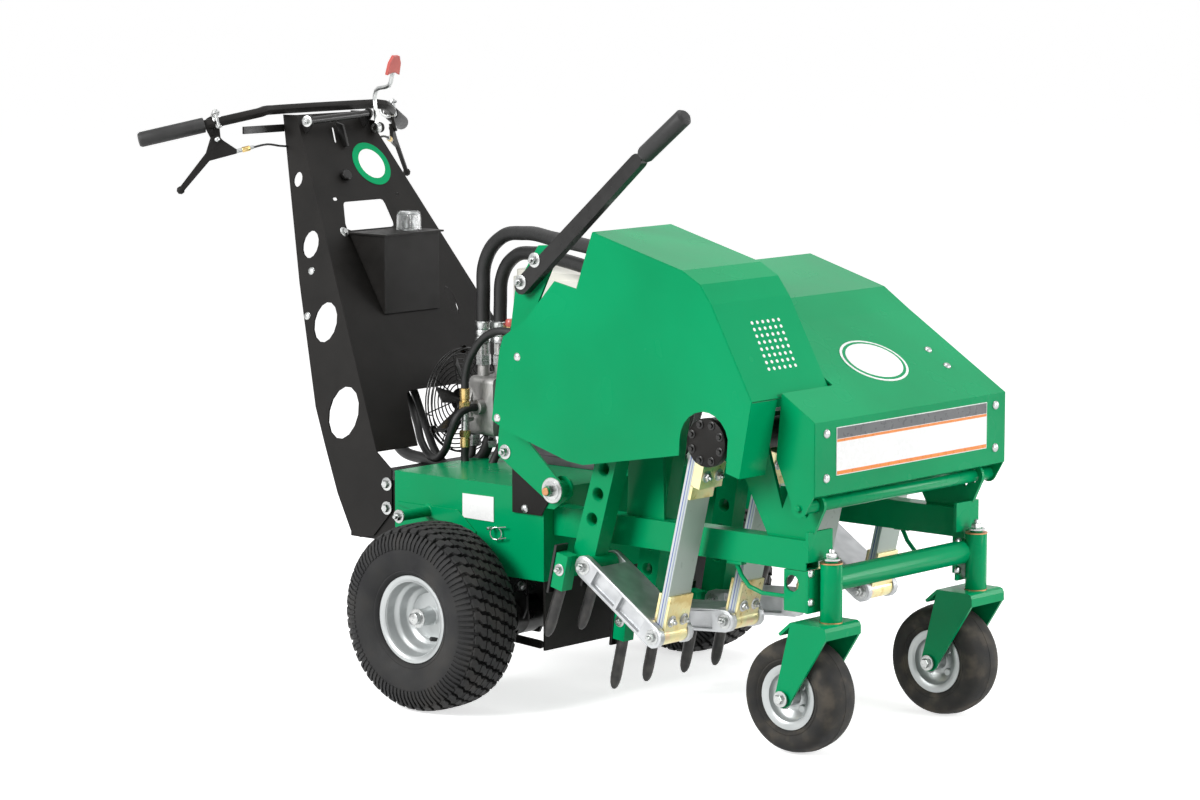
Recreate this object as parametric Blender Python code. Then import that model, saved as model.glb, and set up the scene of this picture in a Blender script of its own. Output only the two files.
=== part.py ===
"""Walk-behind powered lawn aerator with crank-driven tine arms on flexible leaf limbs.

Metres, +Z up, +X towards the casters, +Y to the operator's left. Positions along X are
measured from the rear axle, and the root empty shifts the whole machine so that the origin
lies under the middle of its box.
"""
import math

import bmesh
import bpy
from mathutils import Matrix, Vector
from mathutils.geometry import tessellate_polygon

ORIGIN_SHIFT = -0.0278
CLEARANCE = 0.0003
SHEET = 0.003
ROUND = 12
WHEEL_STEPS = 20

# Rear wheels, 15 x 6.00-6 turf tyres
REAR_TYRE_RADIUS = 0.1905
REAR_TYRE_WIDTH = 0.150
REAR_TRACK_HALF = 0.408
REAR_BEAD_RADIUS = 0.0762
REAR_LIP_RADIUS = 0.0895
REAR_RIM_HALF = 0.058
AXLE_RADIUS = 0.0125
AXLE_HALF = 0.461

# Front casters, 9 x 3.50-4 smooth tyres trailing behind their king pins
CASTER_AXLE_X = 0.810
CASTER_TYRE_RADIUS = 0.1125
CASTER_TYRE_WIDTH = 0.090
CASTER_BEAD_RADIUS = 0.0508
CASTER_LIP_RADIUS = 0.0639
CASTER_RIM_HALF = 0.0395
CASTER_BOLT_RADIUS = 0.008
CASTER_Y = 0.2345
KING_PIN_X = 0.8830
KING_PIN_RADIUS = 0.0125
KING_PIN_TOP = 0.386
FORK_TOP = 0.262
FORK_PLATE = 0.006
FORK_HALF = 0.055
FORK_FRONT = 0.030
FORK_REAR = 0.056
FORK_LIP = 0.026
HEAD_TUBE_RADIUS = 0.0215
HEAD_TUBE_TOP = 0.376

# Chassis box over the rear axle
CHASSIS_REAR = -0.200
CHASSIS_FRONT = 0.212
CHASSIS_HALF = 0.304
CHASSIS_BOTTOM = 0.270
CHASSIS_TOP = 0.455
CHASSIS_PLATE = 0.004
LIFT_PIVOT = (0.263, 0.464)
LIFT_PIN_RADIUS = 0.0095
GUARD_BOTTOM = 0.128
GUARD_PLATE = 0.005

# Four limbs across the machine
LIMB_PITCH = 0.220
LIMB_COUNT = 4
OUTER_LIMB_Y = LIMB_PITCH * (LIMB_COUNT - 1) / 2

# Side rails with their welded stands, inside the outer limbs
RAIL_INSET = 0.055
RAIL_OUTER = OUTER_LIMB_Y - RAIL_INSET
RAIL_WIDTH = 0.040
RAIL_BOTTOM = 0.362
RAIL_TOP = 0.420
RAIL_WALL = 0.003
RAIL_FRONT = 0.853
STAND_INSET = 0.075
STAND_Y = OUTER_LIMB_Y - STAND_INSET
STAND_PLATE = 0.008
BRACKET_REAR = 0.800
BRACKET_FRONT = 0.8585
BRACKET_BOTTOM = 0.280
BRACKET_HOLE = (0.8195, 0.335)
BRACKET_HOLE_RADIUS = 0.0165
STAY_RADIUS = 0.0045
FRONT_TUBE_RADIUS = 0.0235
FRONT_TUBE_X = 0.860
FRONT_TUBE_Z = 0.337

# Hood pivot at the front, on the upper cross tube
HOOD_PIVOT = (0.860, 0.4865)
PIVOT_TUBE_RADIUS = 0.0135
PIVOT_PIN_RADIUS = 0.006

# Crank, tine arms, aluminium links and flexible leaves
CRANK_CENTRE = (0.4406, 0.700)
CRANK_RADIUS = 0.075
CRANK_PHASE = math.radians(55.0)
JOURNAL_RADIUS = 0.020
PIN_RADIUS = 0.018
WEB_THICKNESS = 0.012
WEB_RADIUS = 0.030
ARM_LENGTH = 0.4428
ARM_WIDTH = 0.040
ARM_DEPTH = 0.056
ARM_SETBACK = 0.030
BIG_END_RADIUS = 0.032
ARM_HOLE_RADIUS = 0.011
ARM_HOLE_FIRST = 0.0874
ARM_HOLE_STEP = 0.0533
BOSS_RADIUS = 0.019
TINE_OFFSET = 0.050
TINE_RADIUS = 0.0115
TINE_BACK = 0.046
TINE_REACH = 0.168
TINE_TILT = math.radians(7.0)
HOLDER_DEPTH = 0.030
HOLDER_REACH = 0.060
HOLDER_TOP = 0.012
KNUCKLE = (0.560, 0.213)
KNUCKLE_RADIUS = 0.019
LINK_LENGTH = 0.2113
LINK_HALF = 0.050
LINK_EAR = 0.014
LINK_END_RADIUS = 0.0225
LINK_PIN_RADIUS = 0.008
LINK_SLOT_RADIUS = 0.036
LEAF_LEAN = math.radians(13.6)
LEAF_WIDTH = 0.068
LEAF_THICKNESS = 0.018
LEAF_LENGTH = 0.440
CARRIER_RADIUS = 0.0297
CARRIER_FORWARD = 0.039
CARRIER_UP = 0.412
CARRIER_REACH = 0.0365
CARRIER_HALF = OUTER_LIMB_Y + CARRIER_REACH
CAP_RADIUS = 0.047
CAP_THICKNESS = 0.0155

# Hoods
HOOD_MARGIN = 0.055
HOOD_SIDE = OUTER_LIMB_Y + HOOD_MARGIN
BUMP_REACH = 0.103
BUMP_INNER = STAND_Y - BUMP_REACH
HOOD_FRONT_HALF = 0.307
HOOD_GAP = 0.003

# Handle tower and handlebar
TOWER_TOP_HALF = 0.1030
TOWER_FOOT_HALF = 0.2854
TOWER_TOP = (-0.682, 1.158)
TOWER_FOOT = (-0.2687, 0.485)
TOWER_SLOTS = (((-0.100, 0.9825), (-0.092, 0.9825)), ((0.088, 0.9825), (0.096, 0.9825)),
               ((-0.022, 1.099), (-0.013, 1.126)))
TOWER_SLOT_RADIUS = 0.0032
BAR_X = -0.717
BAR_Z = 1.170
BAR_RADIUS = 0.0115
BAR_BEND_Y = 0.185
GRIP_END = (-0.853, 0.398, 1.113)
GRIP_RADIUS = 0.0165
GRIP_LENGTH = 0.150
DRIVE_PIVOT = (-0.636, 1.124)
LEVER_PIVOT = (-0.757, 0.268, 1.110)
LEVER_BALL = (-0.788, 0.348, 1.005)

# Power unit
ENGINE_REAR = -0.115
ENGINE_FRONT = 0.130
ENGINE_Y = (-0.020, 0.250)
PUMP_AXIS = (-0.010, 0.566)
PUMP_REAR = -0.210
FAN_X = -0.262
FAN_RADIUS = 0.098
FAN_GUARD_RADIUS = 0.113
FAN_GUARD_X = -0.296
FAN_SHAFT_RADIUS = 0.010


# Materials

def material(name, colour, roughness, metallic=0.0):
    made = bpy.data.materials.new(name)
    made.use_nodes = True
    shader = made.node_tree.nodes["Principled BSDF"]
    shader.inputs["Base Color"].default_value = (*colour, 1.0)
    shader.inputs["Roughness"].default_value = roughness
    shader.inputs["Metallic"].default_value = metallic
    return made


# Shape helpers

def circle(centre, radius, steps=ROUND):
    return [(centre[0] + radius * math.cos(2 * math.pi * i / steps),
             centre[1] + radius * math.sin(2 * math.pi * i / steps)) for i in range(steps)]


def bored(radius, steps=ROUND):
    """Corner radius of a bore that clears a turning shaft of the given radius."""
    return (radius + CLEARANCE) / math.cos(math.pi / steps)


def arc(centre, radius, start, end, steps):
    """Points of an arc between two angles in degrees."""
    turn = math.radians(end - start) / steps
    first = math.radians(start)
    return [(centre[0] + radius * math.cos(first + turn * i),
             centre[1] + radius * math.sin(first + turn * i)) for i in range(steps + 1)]


def capsule(start, end, start_radius, end_radius, steps=6):
    """Outline of two discs joined by their outer tangents."""
    span = Vector(end) - Vector(start)
    heading = math.degrees(math.atan2(span.y, span.x))
    lean = math.degrees(math.acos((start_radius - end_radius) / span.length))
    back = arc(start, start_radius, heading + lean, heading + 360 - lean, steps)
    front = arc(end, end_radius, heading - lean, heading + lean, steps)
    return back + front


def rounded(points, radius, steps=4):
    """The polygon with every corner turned into an arc."""
    result = []
    for i, point in enumerate(points):
        corner = Vector(point)
        before = (Vector(points[i - 1]) - corner)
        after = (Vector(points[(i + 1) % len(points)]) - corner)
        opening = before.angle(after)
        reach = min(radius / math.tan(opening / 2), 0.45 * before.length, 0.45 * after.length)
        start = corner + before.normalized() * reach
        end = corner + after.normalized() * reach
        for step in range(steps + 1):
            t = step / steps
            result.append(tuple((1 - t) ** 2 * start + 2 * t * (1 - t) * corner + t * t * end))
    return result


def box_outline(low_a, high_a, low_b, high_b):
    return [(low_a, low_b), (high_a, low_b), (high_a, high_b), (low_a, high_b)]


def tilted(origin, lean):
    """Map (forward, up) beside a line that leans forward by an angle to (x, z)."""
    sin, cos = math.sin(lean), math.cos(lean)
    return lambda forward, up: (origin[0] + forward * cos + up * sin, origin[1] - forward * sin + up * cos)


def placed(axis, a, b, depth):
    """A point of an outline drawn square to an axis: (x, z) on y, (y, z) on x, (x, y) on z."""
    return {"x": (depth, a, b), "y": (a, depth, b), "z": (a, b, depth)}[axis]


def prism(outline, axis, low, high, holes=()):
    loops = [list(outline), *[list(hole) for hole in holes]]
    mesh = bmesh.new()
    rows = []
    for loop in loops:
        bottom = [mesh.verts.new(placed(axis, a, b, low)) for a, b in loop]
        top = [mesh.verts.new(placed(axis, a, b, high)) for a, b in loop]
        rows.append((bottom, top))
        for i in range(len(loop)):
            j = (i + 1) % len(loop)
            mesh.faces.new((bottom[i], bottom[j], top[j], top[i]))
    flat = tessellate_polygon([[Vector((a, b, 0.0)) for a, b in loop] for loop in loops])
    for side in (0, 1):
        verts = [vert for row in rows for vert in row[side]]
        for triangle in flat:
            mesh.faces.new([verts[i] for i in triangle])
    bmesh.ops.recalc_face_normals(mesh, faces=mesh.faces)
    bmesh.ops.dissolve_limit(mesh, angle_limit=math.radians(0.5), verts=mesh.verts, edges=mesh.edges)
    return mesh


def lathe(profile, axis, centre, steps=ROUND, closed=True):
    """Turn (radius, along) points about an axis; an open profile starts and ends on the axis."""
    mesh = bmesh.new()
    rings = []
    for radius, along in profile:
        turns = 1 if radius == 0 else steps
        ring = []
        for i in range(turns):
            angle = 2 * math.pi * i / steps
            a, b = radius * math.cos(angle), radius * math.sin(angle)
            ring.append(mesh.verts.new(Vector(placed(axis, a, b, along)) + Vector(centre)))
        rings.append(ring)
    pairs = list(zip(rings, rings[1:]))
    if closed:
        pairs.append((rings[-1], rings[0]))
    for low, high in pairs:
        for i in range(steps):
            j = (i + 1) % steps
            corners = [low[i % len(low)], low[j % len(low)], high[j % len(high)], high[i % len(high)]]
            mesh.faces.new(list(dict.fromkeys(corners)))
    bmesh.ops.recalc_face_normals(mesh, faces=mesh.faces)
    return mesh


def cylinder(axis, centre, radius, low, high, steps=ROUND):
    profile = [(0, low), (radius, low), (radius, high), (0, high)]
    return lathe(profile, axis, centre, steps, closed=False)


def along_y(point, radius, low, high, steps=ROUND):
    return cylinder("y", (point[0], 0, point[1]), radius, low, high, steps)


def moved(mesh, matrix):
    mesh.transform(matrix)
    return mesh


def temporary(mesh):
    data = bpy.data.meshes.new("shape")
    mesh.to_mesh(data)
    mesh.free()
    made = bpy.data.objects.new("shape", data)
    bpy.context.scene.collection.objects.link(made)
    return made


def combined(first, others, operation):
    """Boolean of one shape with each of the others in turn."""
    for other in others:
        for shape in (first, other):
            bmesh.ops.triangulate(shape, faces=shape.faces)
        target, tool = temporary(first), temporary(other)
        modifier = target.modifiers.new("combine", "BOOLEAN")
        modifier.operation = operation
        modifier.object = tool
        first = bmesh.new()
        bpy.context.view_layer.update()
        first.from_object(target, bpy.context.evaluated_depsgraph_get())
        for used in (target, tool):
            data = used.data
            bpy.data.objects.remove(used)
            bpy.data.meshes.remove(data)
        bmesh.ops.remove_doubles(first, verts=first.verts, dist=0.00002)
        bmesh.ops.holes_fill(first, edges=[edge for edge in first.edges if edge.is_boundary], sides=0)
    bmesh.ops.dissolve_limit(first, angle_limit=math.radians(0.5), verts=first.verts, edges=first.edges)
    return first


def joined(*shapes):
    return combined(shapes[0], shapes[1:], "UNION")


def cut(shape, *tools):
    return combined(shape, tools, "DIFFERENCE")


def smooth_route(points, spacing):
    """Evenly spaced points of a smooth curve through the given ones."""
    knots = [Vector(point) for point in points]
    knots = [2 * knots[0] - knots[1], *knots, 2 * knots[-1] - knots[-2]]
    dense = []
    for p0, p1, p2, p3 in zip(knots, knots[1:], knots[2:], knots[3:]):
        for step in range(24):
            t = step / 24
            dense.append(0.5 * (2 * p1 + (p2 - p0) * t + (2 * p0 - 5 * p1 + 4 * p2 - p3) * t * t
                                + (3 * p1 - p0 - 3 * p2 + p3) * t ** 3))
    dense.append(knots[-2])
    kept = [dense[0]]
    for point in dense[1:-1]:
        if (point - kept[-1]).length >= spacing and (point - dense[-1]).length >= spacing / 2:
            kept.append(point)
    return [*kept, dense[-1]]


# Scene objects

root = None


def add(name, mesh, finish, origin=(0, 0, 0)):
    """One named solid whose object origin is the given point, usually on its joint's axis."""
    mesh.transform(Matrix.Translation(-Vector(origin)))
    data = bpy.data.meshes.new(name)
    mesh.to_mesh(data)
    mesh.free()
    data.materials.append(finish)
    data.shade_smooth()
    data.set_sharp_from_angle(angle=math.radians(35))
    made = bpy.data.objects.new(name, data)
    made.location = origin
    made.parent = root
    bpy.context.scene.collection.objects.link(made)
    return made


def tube_mesh(points, radius, bevel_resolution=1):
    """A bent tube or hose along a list of points, with filled ends."""
    data = bpy.data.curves.new("route", "CURVE")
    data.dimensions = "3D"
    data.bevel_depth = radius
    data.bevel_resolution = bevel_resolution
    data.use_fill_caps = True
    spline = data.splines.new("POLY")
    spline.points.add(len(points) - 1)
    for knot, point in zip(spline.points, points):
        knot.co = (*point, 1.0)
    made = bpy.data.objects.new("route", data)
    bpy.context.scene.collection.objects.link(made)
    mesh = bmesh.new()
    bpy.context.view_layer.update()
    mesh.from_mesh(made.to_mesh(depsgraph=bpy.context.evaluated_depsgraph_get()))
    bpy.data.objects.remove(made)
    bpy.data.curves.remove(data)
    bmesh.ops.remove_doubles(mesh, verts=mesh.verts, dist=0.00001)
    bmesh.ops.recalc_face_normals(mesh, faces=mesh.faces)
    return mesh


# Wheels

def tyre(radius, width, bead, lip, rim_half, centre, squareness):
    """A closed tyre section turned about its axle."""
    inner = lip + 0.001
    middle, height = (radius + inner) / 2, (radius - inner) / 2
    half = []
    for i in range(5):
        angle = math.radians(-72 + i * 35)
        half.append((middle + height * math.sin(angle), width / 2 * math.cos(angle) ** squareness))
    top = [(radius, half[-1][1] * 0.9)]
    seat = bead + CLEARANCE
    bead_half = rim_half - SHEET - CLEARANCE
    side = [(seat, bead_half), (lip, bead_half), *half[:-1], *top]
    profile = side + [(r, -y) for r, y in reversed(side)]
    return lathe(profile, "y", centre, WHEEL_STEPS)


def rim(bead, lip, rim_half, hub_radius, hub_half, bore, disc_offset, centre):
    """A pressed steel rim: two flanges, a barrel, a dished disc and a hub."""
    inside = bead - SHEET
    disc = 0.005
    front, back = disc_offset - disc, disc_offset + disc
    profile = [(bore, -hub_half), (hub_radius, -hub_half), (hub_radius, front),
               (inside, front - 0.010), (inside, -rim_half),
               (lip, -rim_half), (lip, SHEET - rim_half), (bead, SHEET - rim_half),
               (bead, rim_half - SHEET), (lip, rim_half - SHEET), (lip, rim_half),
               (inside, rim_half), (inside, back + 0.010), (hub_radius, back), (hub_radius, hub_half),
               (bore, hub_half)]
    return lathe(profile, "y", centre, WHEEL_STEPS)


def rear_wheel(side, name, paint):
    centre = (0, side * REAR_TRACK_HALF, REAR_TYRE_RADIUS)
    add(f"rear_tyre_{name}", tyre(REAR_TYRE_RADIUS, REAR_TYRE_WIDTH, REAR_BEAD_RADIUS, REAR_LIP_RADIUS,
                                  REAR_RIM_HALF, centre, 0.4), paint["tyre"], centre)
    add(f"rear_rim_{name}", rim(REAR_BEAD_RADIUS, REAR_LIP_RADIUS, REAR_RIM_HALF, 0.026, 0.040,
                                bored(AXLE_RADIUS), side * 0.012, centre), paint["rim"], centre)


def caster(side, name, paint):
    y = side * CASTER_Y
    axle = (CASTER_AXLE_X, y, CASTER_TYRE_RADIUS)
    bore = bored(CASTER_BOLT_RADIUS)
    hub_half = FORK_HALF - FORK_PLATE - CLEARANCE
    add(f"caster_tyre_{name}", tyre(CASTER_TYRE_RADIUS, CASTER_TYRE_WIDTH, CASTER_BEAD_RADIUS,
                                    CASTER_LIP_RADIUS, CASTER_RIM_HALF, axle, 0.5), paint["tyre"], axle)
    add(f"caster_rim_{name}", rim(CASTER_BEAD_RADIUS, CASTER_LIP_RADIUS, CASTER_RIM_HALF, 0.020, hub_half,
                                  bore, side * 0.006, axle), paint["rim"], axle)
    front, rear = KING_PIN_X + FORK_FRONT, KING_PIN_X - FORK_REAR
    lip = FORK_TOP - FORK_LIP
    section = [(rear - 0.028, FORK_TOP - 0.024), (rear, FORK_TOP), (front - 0.010, FORK_TOP),
               (front - 0.003, FORK_TOP - 0.003), (front, FORK_TOP - 0.010), (front, lip)]
    crown = prism(strip(section, FORK_PLATE), "y", y - FORK_HALF, y + FORK_HALF)
    leg = [(rear + 0.001, FORK_TOP - 0.001), *arc((axle[0], axle[2]), 0.019, 170, 345, 8),
           (front - 0.001, lip + 0.001), (front - 0.001, FORK_TOP - 0.011), (front - 0.011, FORK_TOP - 0.001)]
    legs = [prism(leg, "y", y + low, y + low + FORK_PLATE) for low in (-FORK_HALF, FORK_HALF - FORK_PLATE)]
    pin = cylinder("z", (KING_PIN_X, y, 0), KING_PIN_RADIUS, FORK_TOP - 0.003, KING_PIN_TOP)
    bolt = along_y((axle[0], axle[2]), CASTER_BOLT_RADIUS, y - FORK_HALF - 0.008, y + FORK_HALF + 0.008)
    add(f"caster_fork_{name}", joined(crown, *legs, pin, bolt), paint["green"], (KING_PIN_X, y, FORK_TOP))


# Frame

def chassis(paint):
    """A box open below, with a doubled axle lobe on each side and the lift lever's pivot on the right."""
    wall, half = CHASSIS_PLATE, CHASSIS_HALF
    box = prism(box_outline(CHASSIS_REAR, CHASSIS_FRONT, -half, half), "z", CHASSIS_BOTTOM, CHASSIS_TOP)
    hollow = prism(box_outline(CHASSIS_REAR + wall, CHASSIS_FRONT - wall, wall - half, half - wall), "z",
                   CHASSIS_BOTTOM - 0.01, CHASSIS_TOP - wall)
    shapes = [cut(box, hollow)]
    lobe = [*arc((0, REAR_TYRE_RADIUS), 0.045, 200, 340, 8), (0.070, CHASSIS_BOTTOM + 0.060),
            (-0.070, CHASSIS_BOTTOM + 0.060)]
    axle_hole = circle((0, REAR_TYRE_RADIUS), bored(AXLE_RADIUS))
    for side in (-1, 1):
        span = sorted((side * (half - wall - 0.001), side * (half + 0.001)))
        shapes.append(prism(lobe, "y", *span, [axle_hole]))
    ear = [(0.150, 0.420), (0.240, 0.420), *arc(LIFT_PIVOT, 0.026, -30, 120, 8), (0.150, 0.445)]
    shapes.append(prism(ear, "y", -half - 0.001, wall - half + 0.001))
    shapes.append(along_y(LIFT_PIVOT, 0.018, -half - 0.0247, 0.002 - half))
    shapes.append(along_y(LIFT_PIVOT, LIFT_PIN_RADIUS, -half - 0.050, 0.001 - half))
    add("chassis_box", joined(*shapes), paint["green"])
    add("rear_axle", along_y((0, REAR_TYRE_RADIUS), AXLE_RADIUS, -AXLE_HALF, AXLE_HALF), paint["steel"])
    guard = box_outline(-0.300 + CHASSIS_PLATE, 0.300 - CHASSIS_PLATE, GUARD_BOTTOM, 0.320)
    back = CHASSIS_FRONT - CHASSIS_PLATE - CLEARANCE
    add("rear_guard", prism(guard, "x", back - GUARD_PLATE, back), paint["rubber"])
    half = TOWER_FOOT_HALF - SHEET / 2 - 4 * CLEARANCE
    wall = CHASSIS_PLATE
    deck_top = 0.430
    channel = [(-half, 0.300), (wall - half, 0.300), (wall - half, deck_top - wall),
               (half - wall, deck_top - wall),
               (half - wall, 0.300), (half, 0.300), (half, deck_top), (-half, deck_top)]
    add("tower_bracket", prism(channel, "x", -0.350, CHASSIS_REAR - CLEARANCE), paint["green"])


def side_frame(side, name, paint):
    """A rail tube with the crank stand, leaf carrier stand and hood pivot plate welded along its top."""
    inner, outer = side * (RAIL_OUTER - RAIL_WIDTH), side * RAIL_OUTER
    low, high = min(inner, outer), max(inner, outer)
    section = box_outline(low, high, RAIL_BOTTOM, RAIL_TOP)
    bore = box_outline(low + RAIL_WALL, high - RAIL_WALL, RAIL_BOTTOM + RAIL_WALL, RAIL_TOP - RAIL_WALL)
    rail = prism(section, "x", CHASSIS_FRONT + CLEARANCE, RAIL_FRONT, [bore])
    end = sorted((side * 0.200, outer))
    end_plate = prism(box_outline(*end, RAIL_BOTTOM + 0.016, RAIL_TOP + 0.016), "x",
                      RAIL_FRONT - 0.001, RAIL_FRONT + 0.006)
    base = RAIL_TOP - RAIL_WALL / 2
    near, far = sorted((side * (STAND_Y - STAND_PLATE / 2), side * (STAND_Y + STAND_PLATE / 2)))
    crank_x, crank_z = CRANK_CENTRE
    crank_stand = [(crank_x - 0.048, base), (crank_x + 0.048, base), *arc(CRANK_CENTRE, 0.040, 0, 180, 8)]
    carrier = carrier_centre()
    carrier_stand = [(0.748, base), (0.800, base), *arc(carrier, 0.044, 20, 200, 8)]
    pivot_plate = [(0.760, base), (RAIL_FRONT, base), *arc(HOOD_PIVOT, 0.024, -40, 80, 6), (0.806, 0.528)]
    slot = arc(HOOD_PIVOT, 0.020, 135, 235, 5) + arc(HOOD_PIVOT, 0.031, 235, 135, 5)
    plates = [prism(crank_stand, "y", near, far, [circle(CRANK_CENTRE, bored(JOURNAL_RADIUS))]),
              prism(carrier_stand, "y", near, far, [circle(carrier, bored(CARRIER_RADIUS))]),
              prism(pivot_plate, "y", near, far, [circle(HOOD_PIVOT, bored(PIVOT_TUBE_RADIUS)), slot])]
    if side < 0:
        post_top = bump_height(crank_x) - SHEET - CLEARANCE
        post = [(crank_x - 0.014, crank_z + 0.030), (crank_x + 0.016, crank_z + 0.030),
                (crank_x + 0.016, post_top - 0.016 * 0.27), (crank_x - 0.014, post_top - 0.016 * 0.27)]
        plates.append(prism(post, "y", near, far))
    add(f"side_frame_{name}", joined(rail, end_plate, *plates), paint["green"])


def front_beam(paint):
    """The front cross tube with both head tubes and the brackets that hang under the rails."""
    shapes = [cylinder("y", (FRONT_TUBE_X, 0, FRONT_TUBE_Z), FRONT_TUBE_RADIUS, -CASTER_Y, CASTER_Y)]
    tools = []
    top = RAIL_BOTTOM - CLEARANCE
    for side in (-1, 1):
        y = side * CASTER_Y
        head_bottom = FORK_TOP + CLEARANCE
        shapes.append(cylinder("z", (KING_PIN_X, y, 0), HEAD_TUBE_RADIUS, head_bottom, HEAD_TUBE_TOP))
        flange = sorted((side * (CASTER_Y - 0.030), side * RAIL_OUTER))
        face = box_outline(BRACKET_FRONT - FORK_PLATE, BRACKET_FRONT, *flange)
        shapes.append(prism(face, "z", BRACKET_BOTTOM, top))
        skin = RAIL_OUTER - 0.0005
        plate = sorted((side * (skin - FORK_PLATE), side * skin))
        tab = box_outline(BRACKET_REAR, BRACKET_FRONT - 0.001, BRACKET_BOTTOM + 0.001, top - 0.001)
        shapes.append(prism(tab, "y", *plate))
        tools.append(along_y(BRACKET_HOLE, BRACKET_HOLE_RADIUS, plate[0] - 0.010, plate[1] + 0.010))
        stay_y = side * (skin - FORK_PLATE - STAY_RADIUS / 2)
        stay = [(0.676, top - STAY_RADIUS), (0.681, 0.350), (0.689, 0.335), (0.709, 0.315), (0.742, 0.306),
                (BRACKET_REAR + 0.010, 0.307)]
        shapes.append(tube_mesh([(x, stay_y, z) for x, z in stay], STAY_RADIUS))
        foot = sorted((side * (RAIL_OUTER - 0.016), side * RAIL_OUTER))
        shapes.append(prism(box_outline(0.660, 0.696, *foot), "z", top - 0.006, top))
        tools.append(cylinder("z", (KING_PIN_X, y, 0), bored(KING_PIN_RADIUS),
                              head_bottom - 0.01, HEAD_TUBE_TOP + 0.01))
    add("front_beam", cut(joined(*shapes), *tools), paint["green"])
    inside, reach = HOOD_FRONT_HALF - SHEET - CLEARANCE, HOOD_FRONT_HALF + 0.006
    profile = [(0, -reach), (PIVOT_PIN_RADIUS, -reach), (PIVOT_PIN_RADIUS, -inside),
               (PIVOT_TUBE_RADIUS, -inside),
               (PIVOT_TUBE_RADIUS, inside), (PIVOT_PIN_RADIUS, inside), (PIVOT_PIN_RADIUS, reach), (0, reach)]
    tube = lathe(profile, "y", (HOOD_PIVOT[0], 0, HOOD_PIVOT[1]), closed=False)
    add("hood_pivot_tube", tube, paint["green"])


# Tine mechanism

def limb_y(index):
    return (index - (LIMB_COUNT - 1) / 2) * LIMB_PITCH


def limb_is_outer(index):
    return index in (0, LIMB_COUNT - 1)


def crank_pin(index):
    """The outer pair of throws stands opposite the inner pair."""
    phase = CRANK_PHASE if limb_is_outer(index) else CRANK_PHASE + math.pi
    x, z = CRANK_CENTRE
    return (x + CRANK_RADIUS * math.cos(phase), z + CRANK_RADIUS * math.sin(phase))


def arm_foot(index):
    """Where the arm meets its link: on both the arm's and the link's circle, behind the knuckle."""
    pin, knuckle = Vector(crank_pin(index)), Vector(KNUCKLE)
    span = knuckle - pin
    along = (ARM_LENGTH ** 2 - LINK_LENGTH ** 2 + span.length_squared) / (2 * span.length)
    across = math.sqrt(ARM_LENGTH ** 2 - along ** 2)
    return tuple(pin + span.normalized() * along + span.normalized().orthogonal() * -across)


def carrier_centre():
    return tilted(KNUCKLE, LEAF_LEAN)(CARRIER_FORWARD, CARRIER_UP)


def crankshaft(paint):
    half_pin = ARM_WIDTH / 2 + 0.0025
    shapes = []
    inner_webs = []
    for index in range(LIMB_COUNT):
        y, pin = limb_y(index), crank_pin(index)
        towards_middle = 1 if y < 0 else -1
        sides = (towards_middle,) if limb_is_outer(index) else (-1, 1)
        low = y - half_pin - (0.004 if -1 in sides else 0)
        high = y + half_pin + (0.004 if 1 in sides else 0)
        shapes.append(along_y(pin, PIN_RADIUS, low, high))
        for side in sides:
            web = sorted((y + side * half_pin, y + side * (half_pin + WEB_THICKNESS)))
            inner_webs.append(web)
            outline = capsule(CRANK_CENTRE, pin, WEB_RADIUS, WEB_RADIUS)
            shapes.append(prism(outline, "y", *web))
    webs = sorted(inner_webs)
    for first, second in zip(webs[0::2], webs[1::2]):
        shapes.append(along_y(CRANK_CENTRE, JOURNAL_RADIUS, first[1] - 0.004, second[0] + 0.004))
    add("crankshaft", joined(*shapes), paint["steel"], (CRANK_CENTRE[0], 0, CRANK_CENTRE[1]))


def tine_arm(index, paint):
    """A pressed arm with its big end, link boss, cross head, two holders and two tines."""
    y, pin, foot = limb_y(index), crank_pin(index), arm_foot(index)
    lean = math.atan2(pin[0] - foot[0], pin[1] - foot[1])
    at = tilted(foot, lean)
    half = ARM_DEPTH / 2
    shank = [at(-ARM_SETBACK - half, -0.010), at(-ARM_SETBACK + half, -0.010),
             at(half * 0.8, ARM_LENGTH), at(-half * 0.8, ARM_LENGTH)]
    holes = []
    for step in range(3):
        up = ARM_HOLE_FIRST + step * ARM_HOLE_STEP
        holes.append(circle(at(-ARM_SETBACK * (1 - up / ARM_LENGTH), up), ARM_HOLE_RADIUS, 8))
    body = prism(shank, "y", y - ARM_WIDTH / 2, y + ARM_WIDTH / 2, holes)
    big_end = along_y(pin, BIG_END_RADIUS, y - ARM_WIDTH / 2, y + ARM_WIDTH / 2)
    boss_half = LINK_HALF - LINK_EAR - 0.0005
    boss = along_y(foot, BOSS_RADIUS, y - boss_half, y + boss_half)
    neck = prism(capsule(foot, at(-ARM_SETBACK, 0.010), BOSS_RADIUS * 0.9, 0.020), "y", y - 0.014, y + 0.014)
    holder_half = HOLDER_DEPTH / 2
    cross = [at(-TINE_BACK, -0.022), at(-ARM_SETBACK, -0.022), at(-ARM_SETBACK, 0.008), at(-TINE_BACK, 0.008)]
    head = prism(cross, "y", y - TINE_OFFSET, y + TINE_OFFSET)
    shapes = [body, big_end, boss, neck, head]
    for side in (-1, 1):
        tine_y = y + side * TINE_OFFSET
        holder = [at(-TINE_BACK - holder_half, -HOLDER_REACH), at(-TINE_BACK + holder_half, -HOLDER_REACH),
                  at(-TINE_BACK + holder_half, HOLDER_TOP), at(-TINE_BACK - holder_half, HOLDER_TOP)]
        shapes.append(prism(holder, "y", tine_y - holder_half, tine_y + holder_half))
        shapes.append(tine(at, lean, tine_y))
    bore = along_y(pin, bored(PIN_RADIUS), y - ARM_WIDTH, y + ARM_WIDTH)
    add(f"tine_arm_{index + 1}", cut(joined(*shapes), bore), paint["green"], (pin[0], y, pin[1]))


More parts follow.
